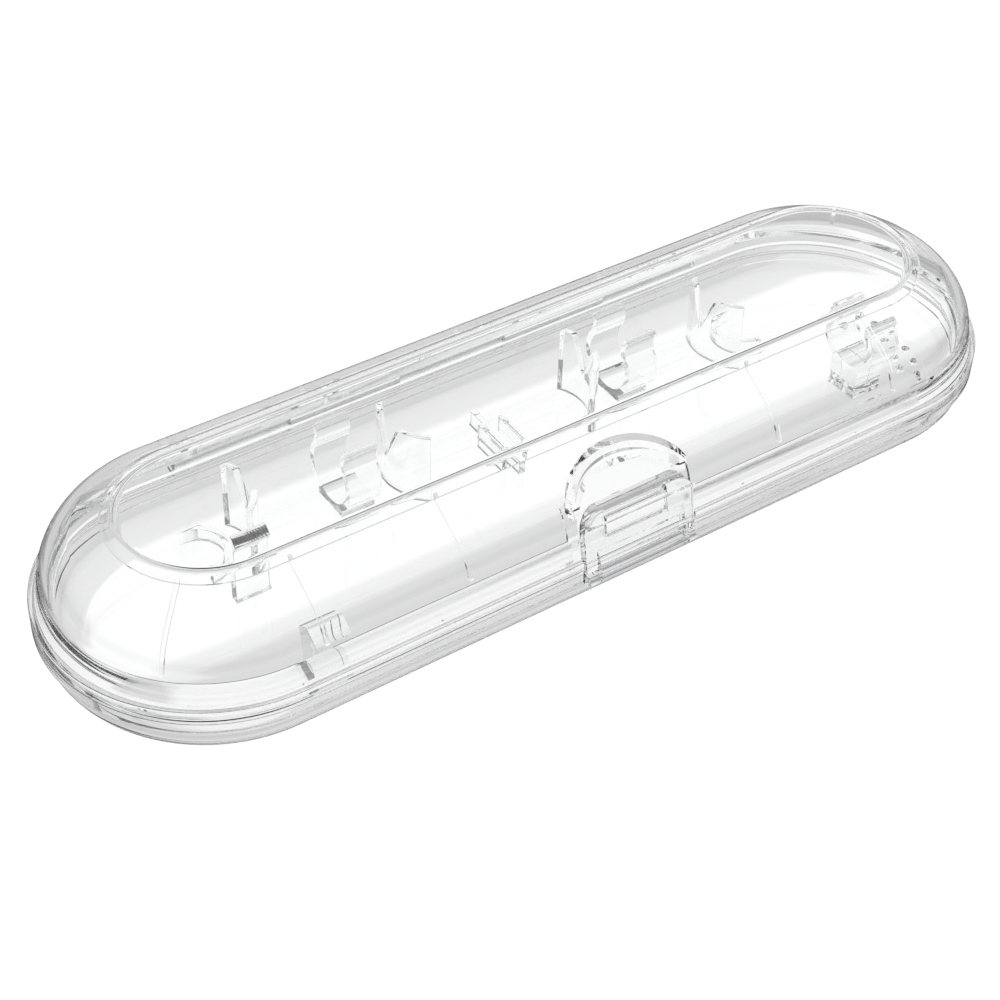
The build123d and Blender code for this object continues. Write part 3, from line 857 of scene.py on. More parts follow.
    def niche(self, grow: float, front: float, lip: float = 0.0) -> Form:
        """Finger niche above the flap.

        Args:
            grow: wall that is added all round, for the skin.
            front: height of its floor at the lid's front.
            lip: how far its wall stands inside its edge.

        Returns:
            The niche as a closed block.
        """
        # half an ellipse in plan, with straight sides running out past the lid's front
        wide = self.niche_half_width + grow - lip
        deep = self.niche_depth + grow - lip
        centre = -self.plan.wall_radius
        rise = (self.niche_back - grow - front) / self.niche_depth
        rings: list[Ring] = []
        for shrink, lift in ((self.niche_soft, 0.0), (0.0, self.niche_soft), (0.0, self.niche_high)):
            ring: Ring = []
            for step in range(self.niche_steps + 1):
                turn = math.pi * step / self.niche_steps
                x = (wide - shrink) * math.cos(turn)
                y = centre + (deep - shrink) * math.sin(turn)
                z = self.plan.parting + front + rise * (y - centre) + lift
                ring.append(Vector((x, y, z)))
            for x in (shrink - wide, wide - shrink):
                z = self.plan.parting + front + lift
                ring.append(Vector((x, centre - self.niche_reach, z)))
            rings.append(ring)
        return Form("finger niche", rings)

    def niche_edge(self) -> Form:
        """Shallow lip round the top of the finger niche.

        Returns:
            The thin slab that the lip's cut takes away.
        """
        low = self.plan.parting
        high = low + self.height - self.bevel_drop
        core = between(self.outline(self.niche_lip_drop), low - self.plan.clear, high)
        return self.niche(0.0, self.niche_front).combine(Cut.CUT, self.plan.turned("core", core))

    def rib(self) -> Form:
        """One stiffening rib on the hinge side, at the middle of the case.

        Returns:
            The rib.
        """
        low = self.plan.parting + self.rib_foot
        outer = self.outline(self.plan.wall - self.rib_root)
        inner = self.outline(self.plan.wall + self.rib_rise)
        outer = [p for p in between(outer, low, math.inf) if p[0] >= self.top_half_width]
        inner = [p for p in between(inner, low, math.inf) if p[0] >= self.top_half_width]
        return Form.along_x("rib", outer + inner[::-1], -self.rib_thickness / 2, self.rib_thickness)

    def ribs(self) -> list[Form]:
        """Ribs along both sides and round both ends.

        Returns:
            One form for each station on the spine.
        """
        tree = spine_tree(self.plastic)
        made: list[Form] = []
        for station in self.rib_pitches:
            for side in (1, -1):
                made.append(tree.run(self.rib(), station=side * station, turn=0.0, count=2))
        made.append(tree.run(self.rib(), station=0.0, turn=0.0, count=1))
        for side in (1, -1):
            for angle in (self.rib_angle, -self.rib_angle):
                turn = angle - 90.0 if side > 0 else angle + 90.0
                made.append(tree.run(self.rib(), station=side * self.plan.straight / 2,
                                     turn=turn, count=1))
        return made

    def keeper(self) -> Form:
        """Slot in the pocket's backing that the catch snaps into.

        Returns:
            The slot as a closed block.
        """
        low = self.plan.parting + self.catch_low - self.plan.fit
        high = self.plan.parting + self.catch_high + self.catch_room
        wide = self.catch_width / 2 + self.plan.fit
        front = -self.plan.far
        back = -self.plan.wall_radius + self.keeper_depth
        outline = [(-wide, front), (wide, front), (wide, back), (-wide, back)]
        return Form.along_z("keeper slot", outline, low, high)

    def rebate(self) -> Form:
        """Room inside the lid's edge for the base's tongue.

        Returns:
            The room as a closed disc.
        """
        radius = self.plan.tongue_radius + self.plan.fit
        low = self.plan.parting - self.plan.clear
        high = self.plan.parting + self.plan.tongue_height + self.rebate_room
        return self.plan.turned("rebate", [(radius, low), (radius, high)])

    def build(self) -> None:
        """Make the lid and hand it over."""
        shell = self.outside()
        shell.combine(Cut.CUT, self.niche(0.0, self.niche_front, self.niche_lip), self.niche_edge())
        shell.combine(Cut.CUT, self.front_block(self.pocket_floor, self.plan.pocket_width,
                                                -self.plan.past, self.flap_top))
        shell.combine(Cut.CUT, self.inside(), self.rebate(), self.keeper())
        shell.combine(Cut.JOIN, *self.ribs())
        shell.combine(Cut.JOIN, self.plan.hinge(1, self.plastic))
        shell.combine(Cut.CUT, self.plan.hinge_bore())
        shell.polish()
        shell.deliver(Body.LID, self.plastic, "lid_shell")


@dataclass
class Base:
    """Lower shell, with the tongue, latch ears, hinge knuckles and drain holes."""

    plan: CasePlan
    plastic: bpy.types.Material
    draft: float = 5.5
    knee_height: float = 5.8
    foot_half_width: float = 27.0
    knee: float = 8.0
    foot: float = 3.0
    flange: float = 2.5
    soft: float = 0.3
    flap_width: float = 26.0
    ear: float = 2.3
    ear_radius: float = 1.2
    ear_soft: float = 0.2
    latch_y: float = -34.9
    latch_z: float = 11.2
    latch_bore: float = 0.52
    hole_radius: float = 1.0
    ledge_z: float = 9.1
    ledge: float = 0.3
    hole_rows: tuple[tuple[float, int, float], ...] = ((24.0, 7, 72.0), (20.1, 6, 60.0))
    sliver: float = 1e-5

    def corners(self) -> list[Point]:
        """Outer outline in (radius, z), from the middle of the underside to past the rim.

        Returns:
            The outline's corners.
        """
        side = lean(self.draft)
        plan = self.plan
        knee = (plan.wall_radius - (plan.parting - self.knee_height) * side, self.knee_height)
        top = (plan.wall_radius + plan.past * side, plan.parting + plan.past)
        return [(0.0, 0.0), (self.foot_half_width, 0.0), knee, top]

    def outline(self, inset: float) -> list[Point]:
        """Outline drawn in by an inset, with its corners rounded."""
        radii = (self.foot - inset, self.knee - inset)
        return rounded(drawn_in(self.corners(), inset), radii, self.plan.curve_steps)

    def outside(self) -> Form:
        """Base as a full block, with its rim and tongue.

        Returns:
            The block.
        """
        plan = self.plan
        top, rim, tongue = plan.parting, plan.rim_radius, plan.tongue_radius
        high = top + plan.tongue_height
        wall = between(self.outline(0), self.sliver, top - self.flange)
        head = rounded(
            [wall[-2], wall[-1], (rim, top - self.flange), (rim, top), (tongue, top), (tongue, high),
             (tongue - plan.clear, high)],
            (plan.rim_fillet, self.soft, plan.rim_edge, 0.0, plan.rim_edge), plan.edge_steps)
        return plan.turned("clear_base", wall[:-1] + head[1:])

    def inside(self) -> Form:
        """Space inside the base, a little wider above the ledge.

        Returns:
            The space as a closed form.
        """
        top = self.plan.parting
        skin = self.outline(self.plan.wall)
        wall = between(skin, self.plan.wall + self.sliver, self.ledge_z)
        wall += [(radius + self.ledge, z) for radius, z in between(skin, self.ledge_z, top)]
        mouth = [(self.plan.tongue_inner, z) for z in (top, top + self.plan.past)]
        return self.plan.turned("base space", wall + mouth)

    def rim_gap(self) -> Form:
        """Length of the rim that makes way for the latch.

        Returns:
            The gap as a closed block.
        """
        top = self.plan.parting
        front = -self.plan.far
        wall = between(self.outline(0), top - self.flange - self.plan.clear, top)
        outline = [(front, wall[0][1])] + [(-y, z) for y, z in wall] + [(front, top)]
        return Form.along_x("rim gap", outline, -self.plan.pocket_width / 2, self.plan.pocket_width)

    def ears(self) -> Form:
        """Two ears that carry the latch pin.

        Returns:
            Both ears as one form.
        """
        reach = -self.latch_y - self.plan.wall_radius + self.plan.wall / 2
        outline = arc((self.latch_y, self.latch_z), self.ear_radius, 90, 270, self.plan.curve_steps)
        outline += [(self.latch_y + reach, self.latch_z - self.ear_radius),
                    (self.latch_y + reach, self.latch_z + self.ear_radius)]
        ears = Form.along_x("ears", outline, -self.flap_width / 2, self.ear)
        pitch = self.flap_width - self.ear
        return row_tree(self.plastic).run(ears.soften(self.ear_soft), count=2, pitch=pitch)

    def holes(self) -> list[Form]:
        """Two rows of drain holes round one end of the floor.

        Returns:
            One form for each row.
        """
        plan = self.plan
        tree = arc_tree(self.plastic)
        outline = circle((0.0, 0.0), self.hole_radius, plan.coarse_circle)
        rows: list[Form] = []
        for radius, count, sweep in self.hole_rows:
            hole = Form.along_z("drain hole", outline, -plan.clear, plan.wall + plan.clear)
            rows.append(tree.run(hole, count=count, sweep=sweep, radius=radius,
                                 centre=plan.straight / 2))
        return rows

    def build(self) -> None:
        """Make the base and hand it over."""
        shell = self.outside()
        shell.combine(Cut.CUT, self.rim_gap(), self.inside())
        shell.combine(Cut.JOIN, self.ears())
        shell.combine(Cut.CUT, self.plan.cross_bore((self.latch_y, self.latch_z), self.latch_bore))
        shell.combine(Cut.JOIN, self.plan.hinge(-1, self.plastic))
        shell.combine(Cut.CUT, self.plan.hinge_bore())
        shell.combine(Cut.CUT, *self.holes())
        shell.polish()
        shell.deliver(Body.BASE, self.plastic, "base_shell")


# ---------------------------------------------------------------- latch
@dataclass
class Flap:
    """Snap flap with its lip, catch and barrel."""

    lid: Lid
    width: float = 26.0
    proud: float = 1.3
    seat: float = 0.5
    corner: float = 4.5
    top: float = 12.4
    lip_height: float = 2.4
    lip_proud: float = 0.9
    catch_reach: float = 1.2
    barrel: float = 1.2
    bore: float = 0.56
    knuckle: float = 20.8
    axis: Point = (-34.9, 11.2)
    soft: float = 0.25
    catch_soft: float = 0.2
    barrel_soft: float = 0.15
    lip_edge: float = 0.02
    quarter: tuple[int, ...] = (0, 30, 60, 90)
    back_steps: int = 12
    lip_steps: int = 3
    front_steps: int = 9
    width_steps: int = 60

    def crown(self, x: float) -> float:
        """Height of the flap's top edge above the parting plane.

        Args:
            x: the place along the flap.

        Returns:
            The height.
        """
        over = abs(x) - (self.width / 2 - self.corner)
        if over <= 0:
            return self.top
        return self.top - self.corner + math.sqrt(max(0.0, self.corner ** 2 - over ** 2))

    def face(self, inset: float) -> Callable[[float], float]:
        """Y of the drawn-in front face by height above the parting plane.

        Args:
            inset: how far the lid's outline is drawn in.

        Returns:
            The face's Y by height.
        """
        points = self.lid.outline(inset)
        parting = self.lid.plan.parting

        def at(height: float) -> float:
            """Y of the face at one height."""
            for (y, z), (next_y, next_z) in zip(points, points[1:]):
                if z <= parting + height <= next_z:
                    return -(y + (next_y - y) * (parting + height - z) / (next_z - z))
            return -points[-1][0]
        return at

    def stations(self) -> list[float]:
        """Places along the flap, closer together at its rounded ends.

        Returns:
            The places, from the left end to the right.
        """
        start = -self.width / 2 + self.soft
        inner = self.width - 2 * self.soft
        ends = [start - self.soft * math.cos(math.radians(turn)) for turn in self.quarter]
        middle = [start + inner * step / self.width_steps for step in range(1, self.width_steps)]
        return ends + middle + [-x for x in ends[::-1]]

    def section(self, x: float, inner: Callable[[float], float], outer: Callable[[float], float],
                lip: Callable[[float], float]) -> Ring:
        """Closed outline of the plate at one place along it.

        Args:
            x: the place.
            inner: the back face.
            outer: the front face under the lip.
            lip: the lip's front face.

        Returns:
            The outline, up the back and down the front.
        """
        soft = self.soft
        inward = max(0.0, abs(x) - (self.width / 2 - soft))
        shrink = soft - math.sqrt(max(0.0, soft ** 2 - inward ** 2))
        high = self.crown(x) - shrink
        low = self.lid.plan.fit + shrink
        shoulder = high - soft
        lip_low = self.top - self.lip_height
        front = lip if high > lip_low + soft else outer
        edge = min(lip_low, high)
        below = edge - self.lip_edge
        turns = [math.radians(turn) for turn in self.quarter]
        rise = [(shoulder + soft * math.sin(turn), soft * (1 - math.cos(turn))) for turn in turns]
        points = [(inner(z) - shrink, z) for z in spaced(low, shoulder, self.back_steps)]
        points += [(inner(z) - shrink - curl, z) for z, curl in rise[1:]]
        points += [(front(z) + shrink + curl, z) for z, curl in rise[::-1]]
        down = [max(edge, z) for z in spaced(shoulder, edge, self.lip_steps)[1:]]
        points += [(front(z) + shrink, z) for z in down]
        points += [(outer(z) + shrink, z) for z in spaced(below, low, self.front_steps)]
        return [Vector((x, y, self.lid.plan.parting + z)) for y, z in points]

    def plate(self) -> Form:
        """Curved plate with rounded top corners, and the lip along its top.

        Returns:
            The plate.
        """
        inner, outer = self.face(self.seat), self.face(-self.proud)
        lip = self.face(-self.proud - self.lip_proud)
        return Form("clear_flap", [self.section(x, inner, outer, lip) for x in self.stations()])

    def catch(self) -> Form:
        """Block behind the plate that snaps into the keeper slot.

        Returns:
            The catch.
        """
        parting = self.lid.plan.parting
        outer, inner = self.face(self.seat - self.lid.plan.fit), self.face(self.seat + self.catch_reach)
        low, high = self.lid.catch_low, self.lid.catch_high
        wide = self.lid.catch_width
        outline = [(outer(low), parting + low), (inner(low), parting + low),
                   (inner(high), parting + high), (outer(high), parting + high)]
        return Form.along_x("catch", outline, -wide / 2, wide).soften(self.catch_soft)

    def hinge(self) -> Form:
        """Barrel round the latch pin, and the web that joins it to the plate.

        Returns:
            The barrel with its web.
        """
        y, z = self.axis
        plan = self.lid.plan
        low = plan.parting + plan.fit
        outline = arc((y, z), self.barrel, 180, 360, plan.curve_steps)
        outline += [(y + self.barrel, low), (self.seat / 2 - plan.wall_radius, low + plan.fit),
                    (-self.proud / 2 - plan.wall_radius, plan.parting + 4 * self.barrel),
                    (y - self.barrel, low)]
        barrel = Form.along_x("latch barrel", outline, -self.knuckle / 2, self.knuckle)
        return barrel.soften(self.barrel_soft)

    def build(self) -> None:
        """Make the flap and hand it over."""
        flap = self.plate()
        flap.combine(Cut.JOIN, self.catch(), self.hinge())
        flap.combine(Cut.CUT, self.lid.plan.cross_bore(self.axis, self.bore))
        flap.polish()
        flap.deliver(Body.LATCH, self.lid.plastic, "latch_flap")


# ---------------------------------------------------------------- holders
@dataclass(frozen=True)
class ClipSize:
    """Sizes of a C clip: inside radius, wall, flare's radius at mid wall, and its axis's height."""

    inner: float
    wall: float
    flare: float
    rise: float


@dataclass
class Holders:
    """Clips, cradles, rests, stops and divider that stand on the base's floor."""

    plastic: bpy.types.Material
    sink: float = 0.05
    floor: float = 1.8
    parting: float = 12.7
    case_end: float = 107.5
    wall_clear: float = 24.3
    soft: float = 0.18
    soft_angle: float = 35.0
    clip_length: float = 7.5
    clip_opening: float = 35.0
    clip_steps: int = 48
    flare_angle: float = 75.0
    flare_steps: int = 12
    post_angle: float = 45.0
    foot_share: float = 0.75
    foot_height: float = 1.5
    handle_y: float = -8.85
    neck_clip: ClipSize = ClipSize(inner=5.65, wall=1.8, flare=2.1, rise=13.8)
    neck_clip_inset: float = 29.5
    arm_inset: float = 43.7
    arm_gap: float = 24.7
    arm_rise: float = 6.0
    arm_wall: float = 2.0
    arm_hook: float = 0.9
    block_foot: float = 3.5
    block_depth: float = 5.2
    head_y: float = 18.3
    head_clip: ClipSize = ClipSize(inner=6.25, wall=1.5, flare=4.2, rise=7.9)
    head_clip_x: float = 34.4
    cradle_wall: float = 1.4
    cradle_rise: float = 5.0
    cradle_sweep: float = 55.0
    cradle_steps: int = 48
    notch_depth: float = 9.0
    notch_half: float = 3.5
    head_cradle_inset: float = 40.9
    head_cradle_radius: float = 11.0
    foot_cradle_x: float = 13.6
    foot_cradle_radius: float = 11.7
    rest_inset: float = 39.0
    rest_radius: float = 7.0
    rest_sweep: float = 90.0
    rest_rise: float = 3.0
    stop_wall: float = 1.3
    stop_gap: float = 1.1
    stop_span: Point = (8.6, 17.6)
    stop_rise: float = 6.0
    divider_wall: float = 1.5
    divider_start: float = 5.5
    divider_rise: float = 4.0

    def deliver(self, form: Form, name: str) -> None:
        """Round a holder's edges and hand it over."""
        form.soften(self.soft, self.soft_angle).polish()
        form.deliver(Body.BASE, self.plastic, name)

    def spring_clip(self, name: str, x: float, y: float, size: ClipSize) -> None:
        """C clip with flared lips on a pedestal.

        Args:
            name: the node that it stands for.
            x: its middle along the case.
            y: its axis across the case.
            size: its sizes.
        """
        mid = size.inner + size.wall / 2
        opening = math.radians(self.clip_opening)
        out = Vector((math.cos(opening), math.sin(opening)))
        # middle line of one half with its normals: down the flared lip, then round the C
        line: list[tuple[Vector, Vector]] = []
        for step in range(self.flare_steps, 0, -1):
            bend = Matrix.Rotation(-math.radians(self.flare_angle * step / self.flare_steps), 2)
            normal = bend @ out
            line.append((out * (mid + size.flare) - normal * size.flare, normal))
        for step in range(self.clip_steps + 1):
            turn = opening - (math.pi / 2 + opening) * step / self.clip_steps
            normal = Vector((math.cos(turn), math.sin(turn)))
            line.append((normal * mid, normal))
        outer = [tuple(place + normal * size.wall / 2) for place, normal in line]
        inside = [tuple(place - normal * size.wall / 2) for place, normal in line]
        # below the axis the post takes the place of the C's outside, down to the wider foot
        post = size.inner * math.cos(math.radians(self.post_angle))
        foot = self.foot_share * size.inner
        outer = [point for point in outer if point[0] >= post or point[1] >= 0]
        outer += [(post, -math.sqrt((size.inner + size.wall) ** 2 - post ** 2)),
                  (post, self.foot_height - size.rise), (foot, self.foot_height - size.rise),
                  (foot, -size.rise - self.sink)]
        half = inside[::-1] + outer
        z = self.floor + size.rise
        outline = [(y + a, z + b) for a, b in half] + [(y - a, z + b) for a, b in half[:0:-1]]
        form = Form.along_x("clear_" + name, outline, x - self.clip_length / 2, self.clip_length)
        self.deliver(form, name)

    def handle_arms(self) -> None:
        """Hooked arm and block that hold the toothbrush's body between them."""
        low = self.floor - self.sink
        top = self.parting + self.arm_rise
        wall, hook = self.arm_wall, self.arm_hook
        back = self.handle_y + self.arm_gap / 2
        front = self.handle_y - self.arm_gap / 2
        outer = front - self.block_depth
        arm = [(back, low), (back + wall, low), (back + wall, top - wall), (back + wall - hook, top),
               (back - hook, top - wall), (back, top - 2 * wall)]
        block = [(front, low), (front - self.block_foot, low), (outer, self.floor + 2 * wall),
                 (outer, top - wall), (front - wall, top), (front + hook, top - wall),
                 (front, top - 2 * wall)]
        start = self.arm_inset - self.case_end - self.clip_length / 2
        for name, outline in (("handle_back_clip", arm), ("handle_front_clip", block)):
            self.deliver(Form.along_x("clear_" + name, outline, start, self.clip_length), name)

    def curved_wall(self, name: str, x: float, radius: float, facing: int, sweep: float,
                    high: Callable[[float], float]) -> None:
        """Wall on an arc about a spare head's axis, cut off where the shell's wall is near.

        Args:
            name: the node that it stands for.
            x: the arc's centre along the case.
            radius: its outside radius.
            facing: 1 where the wall's crown faces +X.
            sweep: how far it reaches each way from its crown, in degrees.
            high: height of its top by distance from the head's axis.
        """
        room = self.wall_clear - self.head_y
        low = self.floor - self.sink
        rings: list[Ring] = []
        for step in range(self.cradle_steps + 1):
            ring: Ring = []
            for r, up in ((radius, False), (radius, True), (radius - self.cradle_wall, True),
                          (radius - self.cradle_wall, False)):
                end = min(sweep, math.degrees(math.asin(min(1.0, room / r))))
                turn = math.radians(-sweep + (end + sweep) * step / self.cradle_steps)
                offset = r * math.sin(turn)
                z = high(abs(offset)) if up else low
                ring.append(Vector((x + facing * r * math.cos(turn), self.head_y + offset, z)))
            rings.append(ring)
        self.deliver(Form("clear_" + name, rings), name)

    def upright(self, name: str, x: float, wall: float, span: Point, rise: float) -> None:
        """Thin plate that stands across the case.

        Args:
            name: the node that it stands for.
            x: its middle along the case.
            wall: its thickness.
            span: where it starts and ends across the case.
            rise: its height over the floor.
        """
        start, end = span
        left, right = x - wall / 2, x + wall / 2
        outline = [(left, start), (right, start), (right, end), (left, end)]
        form = Form.along_z("clear_" + name, outline, self.floor - self.sink, self.floor + rise)
        self.deliver(form, name)

    def notched(self, offset: float) -> float:
        """Top of a cradle by distance from the head's axis, with its V notch."""
        notch = max(0.0, self.notch_depth * (1 - offset / self.notch_half))
        return self.parting + self.cradle_rise - notch

    def head_holders(self, side: int, hand: str) -> None:
        """Clip, cradles, rest and foot stop of one spare brush head.

        Args:
            side: 1 for the head towards +X, -1 for the other.
            hand: the end of their names.
        """
        self.spring_clip(f"head_clip_{hand}", side * self.head_clip_x, self.head_y, self.head_clip)
        self.curved_wall(f"head_cradle_{hand}", side * (self.case_end - self.head_cradle_inset),
                         self.head_cradle_radius, -side, self.cradle_sweep, self.notched)
        self.curved_wall(f"foot_cradle_{hand}", side * self.foot_cradle_x, self.foot_cradle_radius,
                         side, self.cradle_sweep, self.notched)
        self.curved_wall(f"head_rest_{hand}", side * (self.case_end - self.rest_inset), self.rest_radius,
                         -side, self.rest_sweep, lambda _offset: self.floor + self.rest_rise)
        stop = self.divider_wall / 2 + self.stop_gap + self.stop_wall / 2
        self.upright(f"foot_stop_{hand}", side * stop, self.stop_wall, self.stop_span, self.stop_rise)

    def build(self) -> None:
        """Make every holder and hand it over."""
        self.spring_clip("handle_neck_clip", self.case_end - self.neck_clip_inset, self.handle_y,
                         self.neck_clip)
        self.handle_arms()
        self.head_holders(-1, "left")
        self.head_holders(1, "right")
        self.upright("centre_divider", 0.0, self.divider_wall, (self.divider_start, self.wall_clear),
                     self.divider_rise)


# ---------------------------------------------------------------- studio
@dataclass
class Studio:
    """White floor with painted shade, soft surroundings and camera. The stops pair a place with a
    brightness.
    """

    azimuth: float = -36.6023
    elevation: float = 41.2709
    roll: float = 2.7769
    distance: float = 429.31
    focal: float = 2101.53
    frame_width: float = 1000.0
    middle: Point = (537.637, 478.245)
    target_z: float = 5.38
    sensor: float = 36.0
    nearest: float = 10.0
    farthest: float = 100000.0
    floor_drop: float = 10.2
    floor_size: float = 40000.0
    floor_colour: tuple[float, ...] = (0.9, 0.9, 0.9, 1.0)
    # painted shade on the floor, which only rays through the plastic see: white under the case, grey
    # round it
    painted_shade_shift: Point = (6.9, 9.3)
    painted_shade_ends: Point = (-72.0, 98.0)
    painted_shade_span: float = 100.0
    # painted shade: grey away from the case, with a thin darker painted line near 41 mm
    painted_shade_reach_stops: Stops = ((0.0, 1.06), (29.5, 1.06), (31.5, 0.84), (40.7, 0.78), (41.3, 0.66),
                          (55.0, 0.62), (60.0, 0.36), (74.0, 0.36), (90.0, 0.60))
    # painted shade: grey bands across the case's front, with a painted contact shadow near the front
    # foot
    painted_shade_front_stops: Stops = ((0.0, 0.70), (16.0, 0.86), (20.0, 1.0), (31.5, 1.0), (33.5, 0.72),
                          (40.5, 0.72), (42.5, 0.88), (46.0, 0.92), (48.0, 1.06))
    # painted light: a bright patch on the floor behind the latch, seen only through the plastic
    painted_patch_middle: Point = (0.0, -1.5)
    painted_patch_half: Point = (13.2, 13.5)
    painted_patch_front: float = -33.0
    painted_patch_skew: float = 0.744
    # painted reflection: the floor is dark close to the case in the plastic's mirror rays
    painted_reflection_span: float = 250.0
    painted_reflection_stops: Stops = ((0.0, 0.05), (95.0, 0.05), (140.0, 0.85), (250.0, 0.85))
    sky_stops: Stops = ((0.0, 0.30), (0.04, 0.05), (0.12, 0.08), (0.21, 0.80), (0.5, 1.0))
    direct: float = 1.03
    shadow_share: float = 0.04
    bounces: int = 32
    mirror_bounces: int = 16

    def camera(self) -> None:
        """Place the camera."""
        a, e, r = (math.radians(v) for v in (self.azimuth, self.elevation, self.roll))
        back = Vector((math.sin(a) * math.cos(e), -math.cos(a) * math.cos(e), math.sin(e)))
        right = Vector((math.cos(a), math.sin(a), 0.0))
        up = back.cross(right)
        across = right * math.cos(r) + up * math.sin(r)
        above = up * math.cos(r) - right * math.sin(r)
        lens = bpy.data.cameras.new("camera")
        lens.sensor_width = self.sensor
        lens.lens = self.focal * self.sensor / self.frame_width
        lens.shift_x = (self.frame_width / 2 - self.middle[0]) / self.frame_width
        lens.shift_y = (self.middle[1] - self.frame_width / 2) / self.frame_width
        lens.clip_start = self.nearest * MM
        lens.clip_end = self.farthest * MM
        camera = bpy.data.objects.new("camera", lens)
        bpy.context.scene.collection.objects.link(camera)
        place = Matrix((across, above, back)).transposed().to_4x4()
        place.translation = Vector((0.0, 0.0, self.target_z * MM)) + back * self.distance * MM
        camera.matrix_world = place
        bpy.context.scene.camera = camera

    def painted_level(self, wires: Wiring, distance: Socket, span: float, stops: Sequence[Point]) -> Socket:
        """Painted brightness of the floor by a distance, up to a span."""
        share = wires.math("DIVIDE", distance, span)
        return wires.ramp(share, [(place / span, level) for place, level in stops])

    def painted_light_patch(self, wires: Wiring, x: Socket, y: Socket) -> Socket:
        """Slanted patch of painted light on the floor behind the latch, seen only through the plastic.

        Args:
            wires: the floor's material.
            x: place along the case.
            y: place across the case.

        Returns:
            1 inside the patch and 0 outside.
        """
        behind = wires.math("SUBTRACT", y, self.painted_patch_front)
        along = wires.math("SUBTRACT", x, wires.math("MULTIPLY", behind, self.painted_patch_skew))
        shares: list[Socket] = []
        for place, middle, half in zip((along, y), self.painted_patch_middle, self.painted_patch_half):
            away = wires.math("ABSOLUTE", wires.math("SUBTRACT", place, middle))
            shares.append(wires.math("DIVIDE", away, half))
        return wires.math("LESS_THAN", wires.math("MAXIMUM", *shares), 1.0)

    def painted_floor_shade(self, wires: Wiring) -> tuple[Socket, Socket]:
        """Painted shade and light on the floor, which only the plastic shows.

        Args:
            wires: the floor's material.

        Returns:
            Through the plastic, white under the case with painted grey shade round it, and in the
            plastic's painted reflection, dark close to the case.
        """
        place = wires.node("ShaderNodeTexCoord").outputs["Object"]
        axes = wires.node("ShaderNodeSeparateXYZ", {0: place}).outputs
        x = wires.math("DIVIDE", axes["X"], MM)
        y = wires.math("DIVIDE", axes["Y"], MM)
        start, end = (at + self.painted_shade_shift[0] for at in self.painted_shade_ends)
        past = wires.math("MAXIMUM", wires.math("SUBTRACT", start, x), wires.math("SUBTRACT", x, end))
        past = wires.math("MAXIMUM", past, 0.0)
        across = wires.math("SUBTRACT", y, self.painted_shade_shift[1])
        squares = (wires.math("MULTIPLY", side, side) for side in (past, across))
        reach = wires.math("SQRT", wires.math("ADD", *squares))
        depth = wires.math("ADD", across, self.painted_shade_span / 2)
        by_reach = self.painted_level(wires, reach, self.painted_shade_span, self.painted_shade_reach_stops)
        by_depth = self.painted_level(wires, depth, self.painted_shade_span, self.painted_shade_front_stops)
        under = wires.math("MINIMUM", by_reach, by_depth)
        # the painted light patch lifts the floor to white behind the latch
        through = wires.math("MAXIMUM", under, self.painted_light_patch(wires, x, y))
        return through, self.painted_level(wires, reach, self.painted_reflection_span, self.painted_reflection_stops)

    def paint(self) -> bpy.types.Material:
        """White matt floor that takes the case's shadow, with painted shade and light that only the
        plastic shows.

        Returns:
            The floor's material.
        """
        made = bpy.data.materials.new("white floor")
        made.use_nodes = True
        wires = Wiring(made.node_tree)
        matt = made.node_tree.nodes["Principled BSDF"]
        matt.inputs["Base Color"].default_value = self.floor_colour
        matt.inputs["Roughness"].default_value = 1.0
        matt.inputs["Specular IOR Level"].default_value = 0.0
        # a ray that passed through the plastic counts as glossy too, so it is taken off the painted
        # reflection
        path = wires.node("ShaderNodeLightPath").outputs
        through, painted_reflection = self.painted_floor_shade(wires)
        passed = path["Is Transmission Ray"]
        mirrored = wires.math("SUBTRACT", path["Is Glossy Ray"], passed)
        # rays through the plastic see the painted shade, mirror rays the painted reflection
        level = wires.math("MAXIMUM", wires.math("MULTIPLY", passed, through),
                           wires.math("MULTIPLY", mirrored, painted_reflection))
        level = wires.math("MAXIMUM", level, wires.math("MULTIPLY", path["Is Camera Ray"], self.direct))
        glow = wires.node("ShaderNodeEmission", {"Strength": level})
        # other rays see the matt floor alone, and a small share of it keeps the case's shadow
        lit = wires.math("GREATER_THAN", level, 0.0)
        either = wires.node("ShaderNodeMixShader", {
            0: wires.math("MULTIPLY", lit, 1 - self.shadow_share),
            1: matt.outputs["BSDF"],
            2: glow.outputs["Emission"],
        })
        wires.link(either.outputs[0], made.node_tree.nodes["Material Output"].inputs["Surface"])
        return made

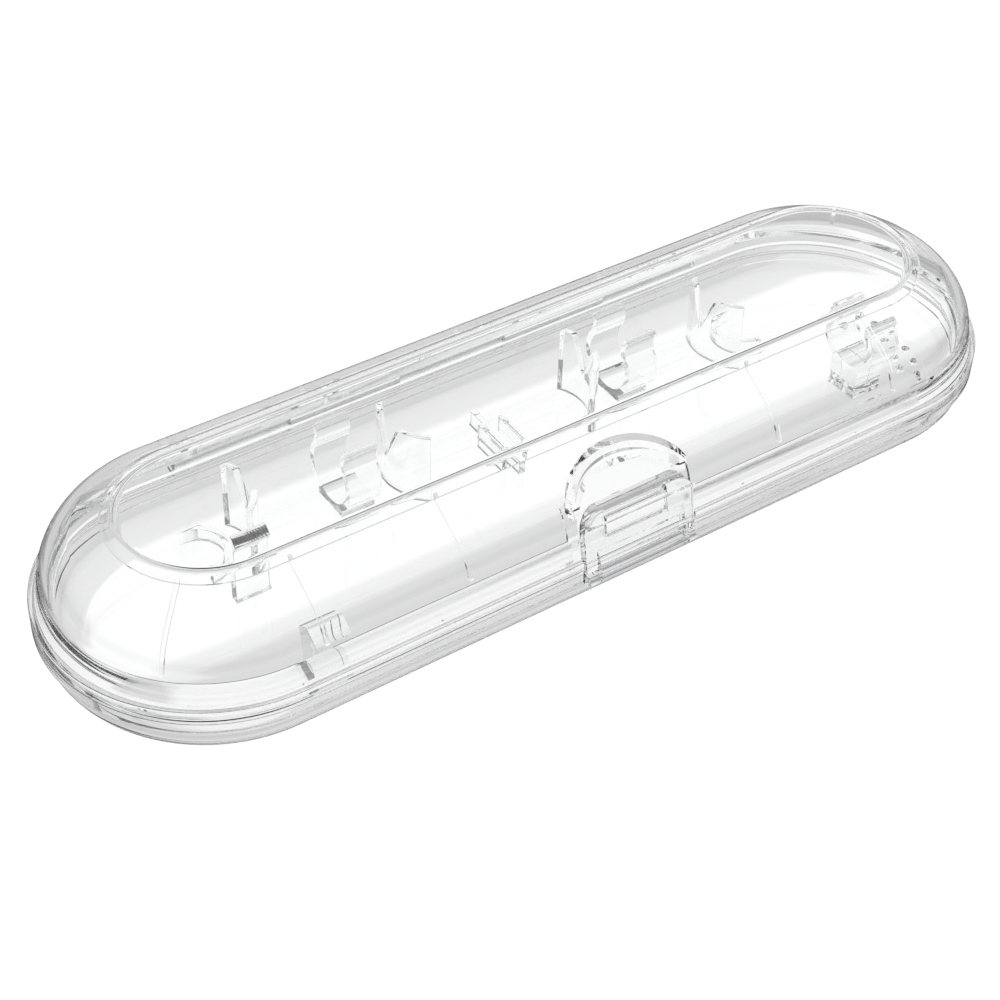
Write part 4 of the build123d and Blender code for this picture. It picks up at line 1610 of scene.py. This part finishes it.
    def floor(self) -> None:
        """Lay the white floor."""
        half = self.floor_size / 2
        corners = [Vector((x, y, -self.floor_drop)) * MM for x, y in
                   ((-half, -half), (half, -half), (half, half), (-half, half))]
        mesh = bpy.data.meshes.new("floor")
        mesh.from_pydata(corners, [], [(0, 1, 2, 3)])
        mesh.materials.append(self.paint())
        floor = bpy.data.objects.new("floor", mesh)
        bpy.context.scene.collection.objects.link(floor)

    def surroundings(self) -> None:
        """Light the case from a pale dome that darkens towards the horizon."""
        world = bpy.data.worlds.new("studio")
        bpy.context.scene.world = world
        world.use_nodes = True
        wires = Wiring(world.node_tree)
        place = wires.node("ShaderNodeTexCoord").outputs["Generated"]
        axes = wires.node("ShaderNodeSeparateXYZ", {0: place}).outputs
        seen = wires.node("ShaderNodeLightPath").outputs["Is Camera Ray"]
        back = world.node_tree.nodes["Background"]
        back.inputs["Color"].default_value = (1.0, 1.0, 1.0, 1.0)
        level = wires.math("MAXIMUM", wires.ramp(axes["Z"], self.sky_stops), seen)
        wires.link(level, back.inputs["Strength"])

    def build(self) -> None:
        """Set up the camera, the floor, the surroundings and the light's bounces."""
        self.camera()
        self.floor()
        self.surroundings()
        scene = bpy.context.scene
        scene.view_settings.view_transform = "Standard"
        scene.cycles.max_bounces = self.bounces
        scene.cycles.transmission_bounces = self.bounces
        scene.cycles.transparent_max_bounces = self.bounces
        scene.cycles.glossy_bounces = self.mirror_bounces


def dress_pins() -> None:
    """Give the hinge pins, which stay as they are, their steel."""
    steel = DrawnSteel().material()
    for name in ("lid_hinge_pin", "latch_pin"):
        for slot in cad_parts[name].material_slots:
            slot.material = steel
        LOG.info("%s: %s", name, steel.name)


def main() -> None:
    """Build every piece of the case and its studio."""
    logging.basicConfig(level=logging.INFO, format="%(message)s")
    plastic = ClearPlastic().material()
    plan = CasePlan()
    lid = Lid(plan, plastic)
    lid.build()
    Base(plan, plastic).build()
    Flap(lid).build()
    Holders(plastic).build()
    dress_pins()
    Studio().build()


if __name__ == "__main__":
    main()
